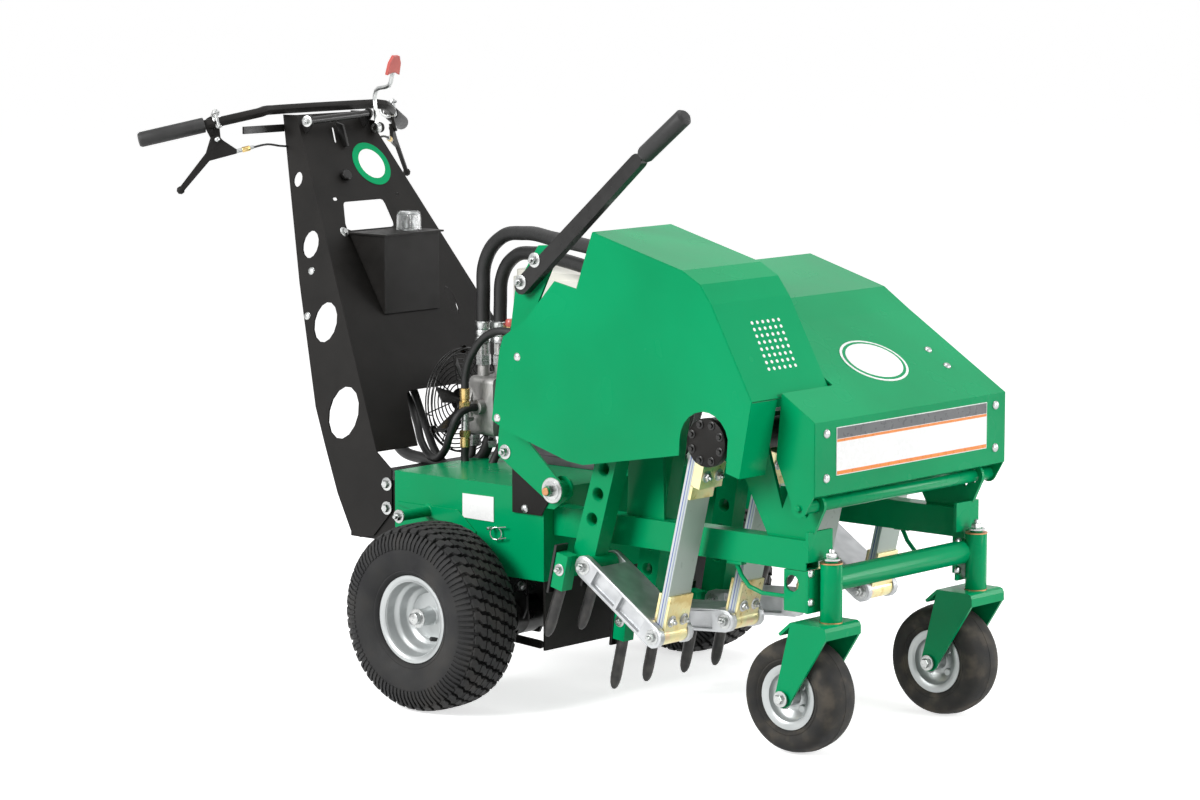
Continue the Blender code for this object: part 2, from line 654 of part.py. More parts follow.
def tine(at, lean, y):
    """A round coring tine with a bullet tip, hanging from its holder along the arm's lean."""
    tip = TINE_REACH - 3 * TINE_RADIUS
    profile = [(0, 0.01 - HOLDER_REACH), (TINE_RADIUS, 0.01 - HOLDER_REACH), (TINE_RADIUS, -tip),
               (TINE_RADIUS * 0.7, -tip - 2 * TINE_RADIUS), (0, -TINE_REACH)]
    x, z = at(-TINE_BACK, -HOLDER_REACH)
    lift = Matrix.Translation((0, 0, HOLDER_REACH))
    matrix = Matrix.Translation((x, y, z)) @ Matrix.Rotation(lean + TINE_TILT, 4, "Y") @ lift
    return moved(lathe(profile, "z", (0, 0, 0), 8, closed=False), matrix)


def link(index, paint):
    """A cast aluminium link: forked at both ends, with two pockets in each side."""
    y, foot = limb_y(index), Vector(arm_foot(index))
    knuckle = Vector(KNUCKLE)
    along = (knuckle - foot).normalized()
    across = Vector((-along.y, along.x))

    def at(distance, rise):
        return tuple(foot + along * distance + across * rise)

    inner = LINK_HALF - LINK_EAR
    ends = capsule(foot, KNUCKLE, LINK_END_RADIUS, LINK_END_RADIUS)
    body = prism(ends, "y", y - LINK_HALF, y + LINK_HALF)
    tools = [along_y(end, LINK_SLOT_RADIUS, y - inner, y + inner) for end in (foot, KNUCKLE)]
    beam = LINK_LENGTH - 2 * (LINK_END_RADIUS + 0.010)
    rib = 0.008
    pocket = (beam - rib) / 2
    rise = LINK_END_RADIUS - 0.006
    depth = LINK_EAR - 0.004
    for side in (-1, 1):
        low, high = sorted((y + side * (LINK_HALF - depth), y + side * (LINK_HALF + 0.005)))
        for step in range(2):
            start = LINK_END_RADIUS + 0.010 + step * (pocket + rib)
            outline = [at(start, -rise), at(start + pocket, -rise), at(start + pocket, rise), at(start, rise)]
            tools.append(prism(outline, "y", low, high))
    pin = along_y(KNUCKLE, LINK_PIN_RADIUS, y - LINK_HALF - 0.006, y + LINK_HALF + 0.006, 12)
    stubs = []
    for side in (-1, 1):
        span = sorted((y + side * (inner + 0.002), y + side * (LINK_HALF + 0.006)))
        stubs.append(along_y(foot, LINK_PIN_RADIUS, *span, 12))
    casting = joined(cut(body, *tools), pin, *stubs)
    add(f"link_{index + 1}", casting, paint["aluminium"], (KNUCKLE[0], y, KNUCKLE[1]))


def flex_leaf(index, paint):
    """A laminated leaf clamped to the carrier above and to the knuckle tube below."""
    y = limb_y(index)
    at = tilted(KNUCKLE, LEAF_LEAN)
    half, wide = LEAF_THICKNESS / 2, LEAF_WIDTH / 2
    plate = 0.006

    def slab(back, front, low, high, width):
        corners = [at(back, low), at(front, low), at(front, high), at(back, high)]
        return prism(corners, "y", y - width, y + width)

    leaf = slab(-half, half, KNUCKLE_RADIUS - 0.006, LEAF_LENGTH, wide - 0.001)
    foot = slab(-half - plate, half + plate, KNUCKLE_RADIUS - 0.008, 0.085, wide)
    head = slab(-half + 0.001, half + 0.022, 0.312, 0.362, wide)
    strap = slab(-half + 0.002, half + plate, 0.285, 0.315, wide - 0.0005)
    knuckle_half = LINK_HALF - LINK_EAR - 0.0005
    tube_outer = along_y(KNUCKLE, KNUCKLE_RADIUS, y - knuckle_half, y + knuckle_half, 16)
    bore = along_y(KNUCKLE, bored(LINK_PIN_RADIUS), y - LINK_HALF, y + LINK_HALF)
    add(f"flex_leaf_{index + 1}", cut(joined(leaf, foot, head, strap, tube_outer), bore), paint["zinc"])


def leaf_carrier(paint):
    """The cross tube that holds the leaves, with a round flanged cap at each end."""
    inner, outer = CARRIER_HALF, CARRIER_HALF + CAP_THICKNESS
    profile = [(0, -outer), (CAP_RADIUS, -outer), (CAP_RADIUS, -inner), (CARRIER_RADIUS, -inner),
               (CARRIER_RADIUS, inner), (CAP_RADIUS, inner), (CAP_RADIUS, outer), (0, outer)]
    centre = carrier_centre()
    add("leaf_carrier", lathe(profile, "y", (centre[0], 0, centre[1]), 24, closed=False), paint["black"])


# Hoods

BUMP_PATH = [(0.414, 0.989), (0.640, 0.929), (0.684, 0.905), (0.712, 0.869), (0.811, 0.693)]
HOOD_PATH = [(0.404, 0.898), (0.595, 0.843), (0.657, 0.802), (0.898, 0.652), (0.898, 0.512), (0.880, 0.505)]


def bump_height(x):
    (x0, z0), (x1, z1) = BUMP_PATH[0], BUMP_PATH[1]
    return z0 + (x - x0) * (z1 - z0) / (x1 - x0)


def inset(path, distance):
    """The path moved to its inner side by a distance."""
    inner = []
    for i, point in enumerate(path):
        before = Vector(path[max(i - 1, 0)])
        after = Vector(path[min(i + 1, len(path) - 1)])
        here = Vector(point)
        normals = []
        for a, b in ((before, here), (here, after)):
            step = b - a
            if step.length > 0:
                normals.append(Vector((step.y, -step.x)).normalized())
        bisector = sum(normals, Vector((0, 0))).normalized()
        inner.append(tuple(here + bisector * (distance / bisector.dot(normals[0]))))
    return inner


def strip(path, thickness):
    """A sheet outline: the path and the same path offset to its inner side."""
    return list(path) + inset(path, thickness)[::-1]


def hood_main(paint):
    """The fixed cover on the operator's right: side panel, rolled top and an inner wall."""
    carrier = carrier_centre()
    arch = arc(carrier, 0.060, 12, 178, 10)
    edge = inset(BUMP_PATH, SHEET / 2)
    panel = [*edge, (0.781, 0.544), (0.749, 0.552), *arch, (carrier[0] - 0.062, 0.575),
             (0.390, 0.533), (0.349, 0.537), (0.185, 0.583), (0.150, 0.600), (0.170, 0.739),
             (0.181, 0.769), (0.239, 0.805), (0.316, 0.887), (0.373, 0.876)]
    outer = -HOOD_SIDE - SHEET
    side = prism(panel, "y", outer, -HOOD_SIDE)
    roof = prism(strip(BUMP_PATH, SHEET), "y", outer + 0.001, -BUMP_INNER)
    wall = [*edge, (0.770, 0.690), (0.690, 0.800), (0.620, 0.830), (0.414, 0.865)]
    inner = prism(wall, "y", -BUMP_INNER - SHEET, -BUMP_INNER)
    brow_path = [(0.8095, 0.690), (0.781, 0.544)]
    brow = prism(strip(brow_path, SHEET), "y", outer + 0.001, -HOOD_FRONT_HALF - HOOD_GAP)
    add("hood_main", joined(side, roof, inner, brow), paint["green"])


def hood_side_left(paint):
    """The lower guard over the far outer arm, held to the chassis by a rear flange."""
    path = [(0.200, 0.700), (0.300, 0.835), (0.520, 0.835), (0.640, 0.760), (0.790, 0.600)]
    carrier = carrier_centre()
    arch = arc(carrier, 0.060, 12, 178, 10)
    panel = [*inset(path, SHEET / 2), (0.781, 0.544), (0.749, 0.552), *arch, (carrier[0] - 0.062, 0.575),
             (0.390, 0.533), (0.349, 0.537), (0.240, 0.520), (0.225, 0.425), (0.175, 0.425)]
    side = prism(panel, "y", HOOD_SIDE, HOOD_SIDE + SHEET)
    roof = prism(strip(path, SHEET), "y", HOOD_FRONT_HALF + HOOD_GAP, HOOD_SIDE + SHEET / 2)
    tab = box_outline(0.187, 0.205, 0.436, 0.480)
    flange = prism(tab, "y", CHASSIS_HALF + CLEARANCE, HOOD_SIDE + 0.001)
    add("hood_side_left", joined(side, roof, flange), paint["green"])


def hood_front(paint):
    """The tilting hood: top, slope and front panel with a wall and pivot ear on each side."""
    split = -BUMP_INNER + HOOD_GAP
    half = HOOD_FRONT_HALF
    nose_x = BUMP_PATH[-1][0] + HOOD_GAP + SHEET
    (x0, z0), (x1, z1) = HOOD_PATH[2], HOOD_PATH[3]
    nose = (nose_x, z0 + (nose_x - x0) * (z1 - z0) / (x1 - x0))
    sheet = prism(strip(HOOD_PATH, SHEET), "y", 0.001 - half, half - 0.001)
    notch = prism(box_outline(0.300, nose_x, -half - 0.010, split), "z", 0.500, 1.000)
    edge = inset(HOOD_PATH, SHEET / 2)
    ear = arc(HOOD_PIVOT, 0.018, -30, -200, 8)
    pin_hole = circle(HOOD_PIVOT, bored(PIVOT_PIN_RADIUS))
    near = [(nose[0] + 0.001, nose[1] - SHEET / 2), *edge[3:5], *ear, (0.806, 0.576)]
    far = [*edge[:5], *ear, (0.806, 0.576), (0.770, 0.690), (0.650, 0.755), (0.404, 0.845)]
    near_wall = prism(near, "y", -half, SHEET - half, [pin_hole])
    far_wall = prism(far, "y", half - SHEET, half, [pin_hole])
    hood = joined(cut(sheet, notch), near_wall, far_wall)
    add("hood_front", hood, paint["green"], (HOOD_PIVOT[0], 0, HOOD_PIVOT[1]))


# Lift lever

def lift_lever(paint):
    """A bent plate on the chassis pin, with a bar bolted to its outer face and a long grip."""
    plate_low = -CHASSIS_HALF - 0.031
    plate_high = plate_low + 0.006
    outline = [*arc(LIFT_PIVOT, 0.027, -125, 40, 8), (0.175, 0.575), (0.208, 0.800), (0.262, 0.905),
               (0.252, 0.950), (0.226, 0.948), (0.165, 0.860), (0.118, 0.560), (0.118, 0.520)]
    hole = circle(LIFT_PIVOT, bored(LIFT_PIN_RADIUS))
    plate = prism(outline, "y", plate_low, plate_high, [hole])
    origin = (LIFT_PIVOT[0], plate_low, LIFT_PIVOT[1])
    add("lift_arm", plate, paint["green"], origin)
    start, bend, end = (0.198, 0.867), (0.496, 1.128), (0.612, 1.2190)
    bar_high = plate_low - CLEARANCE
    bar = prism(capsule(start, bend, 0.017, 0.014), "y", bar_high - 0.020, bar_high)
    middle = bar_high - 0.010
    along = (Vector(end) - Vector(bend)).normalized()
    grip_angle = math.atan2(along.x, along.y)
    grip_length = (Vector(end) - Vector(bend)).length
    matrix = Matrix.Translation((bend[0], middle, bend[1])) @ Matrix.Rotation(grip_angle, 4, "Y")
    spigot = moved(cylinder("z", (0, 0, 0), 0.009, -0.012, grip_length - 0.005, 16), matrix)
    add("lift_bar", joined(bar, spigot), paint["black"], origin)
    bore = 0.009 + CLEARANCE
    grip = [(0, grip_length), (0.012, grip_length), (0.0175, grip_length - 0.006), (0.0175, 0.022),
            (0.0155, 0.016), (bore, 0.016), (bore, grip_length - 0.0047), (0, grip_length - 0.0047)]
    add("lift_grip", moved(lathe(grip, "z", (0, 0, 0), 20, closed=False), matrix), paint["rubber"], origin)


# Handle tower and controls

def tower_half(z):
    """Half width of the tower, from its narrow top to the foot."""
    share = (TOWER_TOP[1] - z) / (TOWER_TOP[1] - TOWER_FOOT[1])
    return TOWER_TOP_HALF + min(max(share, 0), 1) * (TOWER_FOOT_HALF - TOWER_TOP_HALF)


def tower_front(z):
    share = (TOWER_TOP[1] - z) / (TOWER_TOP[1] - TOWER_FOOT[1])
    return TOWER_TOP[0] + share * (TOWER_FOOT[0] - TOWER_TOP[0])


def handle_tower(paint):
    """One folded sheet: a leaning front plate and two side flanges that run down to the foot lobes."""
    back = [(-0.722, TOWER_TOP[1]), (-0.5805, 0.809), (-0.4675, 0.560), (-0.420, TOWER_FOOT[1])]
    lobe = [(-0.384, 0.387), (-0.346, 0.312), (-0.318, 0.300), (-0.280, 0.308), (-0.226, 0.365),
            (-0.226, 0.452)]
    mesh = bmesh.new()
    fronts = []
    for side in (-1, 1):
        top = mesh.verts.new((TOWER_TOP[0], side * TOWER_TOP_HALF, TOWER_TOP[1]))
        foot = mesh.verts.new((TOWER_FOOT[0], side * TOWER_FOOT_HALF, TOWER_FOOT[1]))
        rear = [mesh.verts.new((x, side * tower_half(z), z)) for x, z in back]
        low = [mesh.verts.new((x, side * TOWER_FOOT_HALF, z)) for x, z in lobe]
        mesh.faces.new([top, *rear, foot])
        mesh.faces.new([rear[-1], *low, foot])
        fronts.append((top, foot))
    mesh.faces.new([fronts[0][0], fronts[0][1], fronts[1][1], fronts[1][0]])
    bmesh.ops.recalc_face_normals(mesh, faces=mesh.faces)
    sheet = temporary(mesh)
    solid = sheet.modifiers.new("sheet", "SOLIDIFY")
    solid.thickness = SHEET
    solid.offset = 0.0
    solid.use_even_offset = True
    body = bmesh.new()
    bpy.context.view_layer.update()
    body.from_object(sheet, bpy.context.evaluated_depsgraph_get())
    bpy.data.objects.remove(sheet)
    bmesh.ops.recalc_face_normals(body, faces=body.faces)
    tools = []
    for x, z, radius in ((-0.641, 1.024, 0.016), (-0.568, 0.891, 0.029), (-0.483, 0.734, 0.042),
                         (-0.383, 0.555, 0.054)):
        oval = [(x + 0.8 * a, z + b) for a, b in circle((0, 0), radius, 14)]
        tools.append(prism(oval, "y", -0.4, 0.4))
    window = rounded([(-0.105, 0.917), (0.047, 0.917), (0.047, 0.975), (-0.077, 0.975)], 0.010, 2)
    arch = rounded([(-0.188, 0.400), (0.188, 0.400), (0.134, 0.592), (-0.134, 0.592)], 0.025, 2)
    drop = [(0.118 + a * 0.45, 0.757 + b) for a, b in circle((0, 0), 0.030, 12)]
    tools.append(prism(drop, "x", -0.60, -0.30))
    tools.append(prism(window, "x", -0.75, -0.45))
    tools.append(prism(arch, "x", -0.50, -0.20))
    for slot in TOWER_SLOTS:
        tools.append(prism(capsule(*slot, TOWER_SLOT_RADIUS, TOWER_SLOT_RADIUS, 3), "x", -0.72, -0.52))
    body = cut(body, *tools)
    ear_y = TOWER_TOP_HALF + 0.004
    ear = prism(capsule((-0.682, 1.126), DRIVE_PIVOT, 0.016, 0.011, 6), "y", ear_y - 0.003, ear_y + 0.003)
    pin = along_y(DRIVE_PIVOT, 0.005, ear_y - 0.018, ear_y, 12)
    add("handle_tower", joined(body, ear, pin), paint["black"])


def oil_tank(paint):
    """A wedge-backed tank on the tower's leaning plate, with a lid lip and a clear breather cap."""
    lid, front, right, left = 0.912, -0.424, -0.100, 0.068
    rise, run = TOWER_TOP[1] - TOWER_FOOT[1], TOWER_FOOT[0] - TOWER_TOP[0]
    gap = (SHEET / 2 + CLEARANCE) * math.hypot(rise, run) / rise
    bottom = TOWER_TOP[1] - (front - gap - TOWER_TOP[0]) * rise / run
    flat = bottom + 0.004
    body = prism([(tower_front(lid) + gap, lid), (tower_front(flat) + gap, flat),
                  (front, flat), (front, lid)],
                 "y", right, left)
    lip_low, lip_high = lid - 0.001, lid + 0.003
    lip_rear = tower_front(lip_low) + gap + 0.002
    lip = prism(box_outline(lip_rear, front + 0.010, right - 0.006, left + 0.006), "z", lip_low, lip_high)
    add("oil_tank", joined(body, lip), paint["black"])
    seat = lip_high + CLEARANCE
    cap = prism(rounded(box_outline(-0.486, -0.444, -0.003, 0.039), 0.006, 2), "z", seat, seat + 0.042)
    add("tank_cap", cap, paint["clear"])


def mirrored(point, side):
    return Vector((point[0], side * point[1], point[2]))


def grip_frame(side):
    """Start point and direction of the straight grip stretch of the handlebar."""
    end = mirrored(GRIP_END, side)
    bend = Vector((BAR_X + 0.010, side * BAR_BEND_Y, BAR_Z - 0.002))
    along = (end - bend).normalized()
    return end - along * GRIP_LENGTH, along


def lever_frame(side):
    """Matrix of a brake lever: X along the grip, Z down the lever's drop, Y on its hinge axis."""
    pivot, ball = mirrored(LEVER_PIVOT, side), mirrored(LEVER_BALL, side)
    _, along = grip_frame(side)
    drop = ball - pivot
    down = (drop - along * drop.dot(along)).normalized()
    axis = down.cross(along)
    matrix = Matrix((along, axis, down)).transposed().to_4x4()
    return Matrix.Translation(pivot) @ matrix, drop.dot(along), drop.dot(down)


def handlebar(paint):
    ends = [mirrored(GRIP_END, side) for side in (-1, 1)]
    half = [(BAR_X + 0.010, BAR_BEND_Y + 0.010, BAR_Z - 0.004), (BAR_X, BAR_BEND_Y - 0.045, BAR_Z)]
    route = [ends[0], *[mirrored(point, -1) for point in half],
             *[mirrored(point, 1) for point in reversed(half)], ends[1]]
    starts = [grip_frame(side) for side in (-1, 1)]
    bends = smooth_route(route, 0.022)
    middle = [p for p in bends if abs(p.y) < abs(starts[0][0].y) - 0.01]
    points = [ends[0], starts[0][0], *middle, starts[1][0], ends[1]]
    shapes = [tube_mesh(points, BAR_RADIUS)]
    for side in (-1, 1):
        matrix, _, _ = lever_frame(side)
        start, along = grip_frame(side)
        local = matrix.inverted() @ (start - along * 0.006)
        perch = prism(capsule((local.x, local.z), (0, 0), 0.016, 0.009), "y", 0.0043, 0.0110)
        pin = cylinder("y", (0, 0, 0), 0.0035, -0.0060, 0.0050, 12)
        shapes += [moved(perch, matrix), moved(pin, matrix)]
    add("handlebar", joined(*shapes), paint["black"])
    for side, name in ((-1, "right"), (1, "left")):
        start, along = grip_frame(side)
        bore = BAR_RADIUS + CLEARANCE
        profile = [(0, GRIP_LENGTH + 0.005), (GRIP_RADIUS - 0.003, GRIP_LENGTH + 0.005),
                   (GRIP_RADIUS, GRIP_LENGTH), (GRIP_RADIUS, 0.012), (bore, 0.012),
                   (bore, GRIP_LENGTH + CLEARANCE), (0, GRIP_LENGTH + CLEARANCE)]
        matrix = Matrix.Translation(start) @ Vector((0, 0, 1)).rotation_difference(along).to_matrix().to_4x4()
        add(f"grip_{name}", moved(lathe(profile, "z", (0, 0, 0), 20, closed=False), matrix), paint["rubber"])


def brake_lever(side, name, paint):
    """A flat lever with a triangular web at its pivot and a ball at its end."""
    matrix, along, down = lever_frame(side)
    length = math.hypot(along, down)
    outline = [(-0.012, 0.004), (-0.004, -0.010), (0.012, -0.008), (0.030, 0.022), (along, down - 0.006),
               (along - 0.004, down + 0.006), (0.026, 0.040), (-0.034, 0.038), (-0.036, 0.030)]
    blade = prism(outline, "y", -0.004, 0.004, [circle((0, 0), 0.0038, 12)])
    ball = lathe([(0, -0.009), (0.0064, -0.0064), (0.009, 0), (0.0064, 0.0064), (0, 0.009)], "z",
                 (along * (1 - 0.002 / length), 0, down), 12, closed=False)
    add(f"brake_lever_{name}", moved(joined(blade, ball), matrix), paint["black"], matrix.translation)


def drive_lever(paint):
    """A bent rod that swings fore and aft on the tower's ear, with a flat red paddle."""
    y = TOWER_TOP_HALF - 0.007
    pivot = (DRIVE_PIVOT[0], y, DRIVE_PIVOT[1])
    route = [(DRIVE_PIVOT[0], y, DRIVE_PIVOT[1] + 0.008), (-0.639, y, 1.160), (-0.641, y, 1.193),
             (-0.632, y, 1.209), (-0.610, y, 1.213),
             (-0.596, y, 1.218), (-0.590, y, 1.232), (-0.586, y, 1.246)]
    eye = prism(circle((pivot[0], pivot[2]), 0.011, 16), "y", y - 0.006, y + 0.006,
                [circle((pivot[0], pivot[2]), 0.0053, 16)])
    add("drive_lever", joined(eye, tube_mesh(smooth_route(route, 0.010), 0.0048)), paint["chrome"], pivot)
    along = Vector((0.25, 0, 0.968))
    lean = Matrix.Rotation(math.atan2(0.25, 0.968), 4, "Y")
    matrix = Matrix.Translation(Vector(route[-1]) + along * CLEARANCE) @ lean
    outline = [(-0.006, 0.000), (0.006, 0.000), (0.019, -0.006), (0.017, 0.022), (0.009, 0.038),
               (-0.009, 0.038), (-0.017, 0.022), (-0.019, -0.006)]
    add("drive_paddle", moved(prism(outline, "x", -0.004, 0.004), matrix), paint["red"], pivot)


# Power unit

def engine(paint):
    low, high = ENGINE_Y
    base = CHASSIS_TOP + CLEARANCE
    case = prism(rounded(box_outline(ENGINE_REAR, ENGINE_FRONT, base + 0.002, 0.655), 0.020), "y", low, high)
    sole = box_outline(ENGINE_REAR + 0.02, ENGINE_FRONT - 0.02, low - 0.015, high + 0.015)
    feet = prism(sole, "z", base, 0.472)
    housing = cylinder("x", (0, (low + high) / 2 + 0.01, 0.585), 0.115, 0.095, 0.175, 24)
    shroud = rounded(box_outline(low + 0.03, high - 0.03, 0.640, 0.738), 0.012)
    head = prism(shroud, "x", ENGINE_REAR + 0.05, 0.080)
    add("engine_block", joined(case, feet, head, housing), paint["engine"])
    seat = 0.738 + CLEARANCE
    body = rounded(box_outline(-0.116, 0.160, low - 0.030, high + 0.010), 0.035, 4)
    shoulder = rounded(box_outline(-0.111, 0.155, low - 0.025, high + 0.005), 0.035, 4)
    tank = joined(prism(body, "z", seat, seat + 0.105), prism(shoulder, "z", seat + 0.1, seat + 0.120),
                  cylinder("z", (0.03, (low + high) / 2, 0), 0.032, seat + 0.11, seat + 0.140))
    add("fuel_tank", tank, paint["cream"])


def pump(paint):
    """The cast variable pump on the engine's output end, with its fan shaft pointing rearward."""
    y, z = PUMP_AXIS
    front = ENGINE_REAR - CLEARANCE
    case = rounded(box_outline(y - 0.058, y + 0.055, z - 0.062, z + 0.062), 0.014, 3)
    body = prism(case, "x", PUMP_REAR, PUMP_REAR + 0.068)
    neck = cylinder("x", (0, y, z), 0.048, PUMP_REAR + 0.060, front)
    flange = cylinder("x", (0, y, z), 0.066, PUMP_REAR - 0.008, PUMP_REAR + 0.010, 24)
    shaft = cylinder("x", (0, y, z), FAN_SHAFT_RADIUS, FAN_GUARD_X + 0.012, PUMP_REAR)
    ports = [cylinder("z", (px, y + py, 0), 0.013, z + 0.05, z + 0.135, 12)
             for px, py in ((PUMP_REAR + 0.016, -0.030), (PUMP_REAR + 0.046, -0.010))]
    lug = along_y((PUMP_REAR + 0.034, z), 0.016, y - 0.075, y - 0.05, 12)
    add("pump", joined(body, neck, flange, shaft, *ports, lug), paint["cast"])


def cooling_fan(paint):
    """A small moulded fan on the pump shaft."""
    y, z = PUMP_AXIS
    hub = lathe([(FAN_SHAFT_RADIUS + CLEARANCE, -0.012), (0.030, -0.012), (0.030, 0.012),
                 (FAN_SHAFT_RADIUS + CLEARANCE, 0.012)], "x", (FAN_X, y, z))
    blades = []
    for i in range(7):
        paddle = [(0.026, -0.010), (FAN_RADIUS, -0.020), (FAN_RADIUS, 0.020), (0.026, 0.010)]
        blade = prism(paddle, "z", -0.0012, 0.0012)
        twist = Matrix.Rotation(2 * math.pi * i / 7, 4, "X") @ Matrix.Rotation(math.radians(90), 4, "Y")
        pitch = Matrix.Rotation(math.radians(38), 4, "X")
        blades.append(moved(blade, Matrix.Translation((FAN_X, y, z)) @ twist @ pitch))
    add("cooling_fan", joined(hub, *blades), paint["black"], (FAN_X, y, z))


def fan_guard(paint):
    """Concentric guard rings on spokes, standing on three legs from the pump flange."""
    y, z = PUMP_AXIS
    slots = []
    ring, bar, sectors = 0.0185, 0.004, 4
    for row in range(4):
        inner = 0.030 + row * ring
        outer = inner + ring - bar
        for sector in range(sectors):
            start = sector * 360 / sectors
            lean_in = math.degrees(bar / 2 / inner)
            lean_out = math.degrees(bar / 2 / outer)
            slots.append(arc((y, z), inner, start + lean_in, start + 360 / sectors - lean_in, 3)
                         + arc((y, z), outer, start + 360 / sectors - lean_out, start + lean_out, 3))
    disc = prism(circle((y, z), FAN_GUARD_RADIUS, 24), "x", FAN_GUARD_X, FAN_GUARD_X + 0.003, slots)
    legs = []
    for i in range(3):
        angle = math.radians(90 + 120 * i)
        foot = (y + 0.056 * math.cos(angle), z + 0.056 * math.sin(angle))
        rim_point = (y + 0.108 * math.cos(angle), z + 0.108 * math.sin(angle))
        seat = PUMP_REAR - 0.008 - CLEARANCE
        legs.append(tube_mesh([(FAN_GUARD_X + 0.001, *rim_point), (seat - 0.024, *rim_point),
                               (seat - 0.014, *foot), (seat, *foot)], 0.004))
    add("fan_guard", joined(disc, *legs), paint["black"])


def hoses(paint):
    y, z = PUMP_AXIS
    top = z + 0.135 + CLEARANCE
    first, second = PUMP_REAR + 0.016, PUMP_REAR + 0.046
    outer = [(first, y - 0.030, top), (first, y - 0.030, 0.800), (first + 0.010, y - 0.034, 0.870),
             (first + 0.062, y - 0.044, 0.922), (first + 0.150, y - 0.066, 0.939), (0.080, y - 0.115, 0.938),
             (0.300, y - 0.195, 0.930), (0.420, y - 0.215, 0.915)]
    inner = [(second, y - 0.010, top), (second, y - 0.010, 0.780), (second + 0.010, y - 0.014, 0.840),
             (second + 0.052, y - 0.024, 0.882), (second + 0.130, y - 0.050, 0.897),
             (0.080, y - 0.100, 0.896), (0.300, y - 0.185, 0.882), (0.420, y - 0.205, 0.865)]
    add("hose_outer", tube_mesh(smooth_route(outer, 0.030), 0.0155), paint["rubber"])
    add("hose_inner", tube_mesh(smooth_route(inner, 0.030), 0.0150), paint["rubber"])
    lug = PUMP_REAR + 0.034
    return_line = [(lug, y - 0.0758, z), (lug, y - 0.095, z), (lug - 0.006, y - 0.120, z - 0.012),
                   (lug - 0.020, y - 0.130, z - 0.050), (lug - 0.040, y - 0.128, z - 0.090),
                   (lug - 0.080, y - 0.118, z - 0.110), (lug - 0.120, y - 0.110, z - 0.085),
                   (lug - 0.150, y - 0.095, z - 0.045), (lug - 0.190, y - 0.075, z - 0.005),
                   (lug - 0.245, y - 0.060, z + 0.050), (lug - 0.280, y - 0.052, z + 0.110),
                   (lug - 0.272, y - 0.050, z + 0.150), (lug - 0.253, y - 0.050, z + 0.160)]
    add("hose_return", tube_mesh(smooth_route(return_line, 0.022), 0.0085), paint["rubber"])


def hydraulic_motor(paint):
    """The motor that turns the crank, standing on the right stand's post under the raised cover."""
    face = -STAND_Y + STAND_PLATE / 2 + CLEARANCE
    body = along_y((0.470, 0.885), 0.040, face, face + 0.070, 28)
    nose = along_y((0.470, 0.885), 0.028, face + 0.06, face + 0.088, 28)
    flange = prism(rounded(box_outline(0.425, 0.515, 0.838, 0.932), 0.012), "y", face, face + 0.012)
    add("hydraulic_motor", joined(flange, body, nose), paint["cast"])


def brake_cable(side, name, paint):
    """From the lever's adjuster, in a short bow, to the hole in the tower flange."""
    matrix, _, _ = lever_frame(side)
    start = matrix @ Vector((-0.0365, 0, 0.034))
    _, along = grip_frame(side)
    entry = Vector((-0.692, side * (tower_half(1.092) + SHEET / 2 + 0.001), 1.092))
    points = [start, start - along * 0.022, (start + entry) / 2 + Vector((0.012, 0, 0.010)),
              entry + Vector((0, side * 0.022, 0.002)), entry]
    add(f"brake_cable_{name}", tube_mesh(smooth_route(points, 0.009), 0.0025), paint["rubber"])


def build():
    global root
    for old in list(bpy.data.objects):
        bpy.data.objects.remove(old)
    root = bpy.data.objects.new("aerator_frame", None)
    root.location = (ORIGIN_SHIFT, 0, 0)
    bpy.context.scene.collection.objects.link(root)
    paint = {
        "green": material("green_paint", (0.010, 0.300, 0.115), 0.35),
        "black": material("black_powder_coat", (0.016, 0.015, 0.015), 0.55),
        "rubber": material("black_rubber", (0.014, 0.014, 0.014), 0.75),
        "tyre": material("tyre_rubber", (0.028, 0.028, 0.029), 0.80),
        "rim": material("silver_rim_paint", (0.55, 0.56, 0.58), 0.35, 0.6),
        "steel": material("bright_steel", (0.55, 0.55, 0.55), 0.30, 1.0),
        "zinc": material("yellow_zinc", (0.62, 0.53, 0.26), 0.35, 0.9),
        "aluminium": material("cast_aluminium", (0.72, 0.73, 0.74), 0.40, 1.0),
        "cast": material("grey_casting", (0.42, 0.42, 0.42), 0.55, 0.8),
        "engine": material("engine_grey", (0.10, 0.10, 0.105), 0.50, 0.4),
        "cream": material("cream_tank", (0.80, 0.79, 0.72), 0.40),
        "red": material("red_paddle", (0.42, 0.05, 0.04), 0.45),
        "chrome": material("zinc_rod", (0.78, 0.78, 0.78), 0.20, 1.0),
        "clear": material("clear_cap", (0.80, 0.84, 0.85), 0.10),
    }
    for side, name in ((-1, "right"), (1, "left")):
        rear_wheel(side, name, paint)
        caster(side, name, paint)
        side_frame(side, name, paint)
        brake_lever(side, name, paint)
        brake_cable(side, name, paint)
    chassis(paint)
    front_beam(paint)
    crankshaft(paint)
    leaf_carrier(paint)
    for index in range(LIMB_COUNT):
        tine_arm(index, paint)
        link(index, paint)
        flex_leaf(index, paint)
    hood_main(paint)
    hood_side_left(paint)
    hood_front(paint)
    lift_lever(paint)
    handle_tower(paint)
    oil_tank(paint)
    handlebar(paint)
    drive_lever(paint)
    engine(paint)
    pump(paint)
    cooling_fan(paint)
    fan_guard(paint)
    hoses(paint)
    hydraulic_motor(paint)


build()
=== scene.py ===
"""Looks of the walk-behind lawn aerator: finishes, tread, fasteners, floor, light and camera.

Pieces are made in the source's own positions along X, measured from the rear axle, and each
object is moved by SHIFT into the row frame.
"""
from math import atan2, cos, pi, radians, sin, sqrt

import bmesh
import bpy
from mathutils import Matrix, Vector
from mathutils.geometry import tessellate_polygon


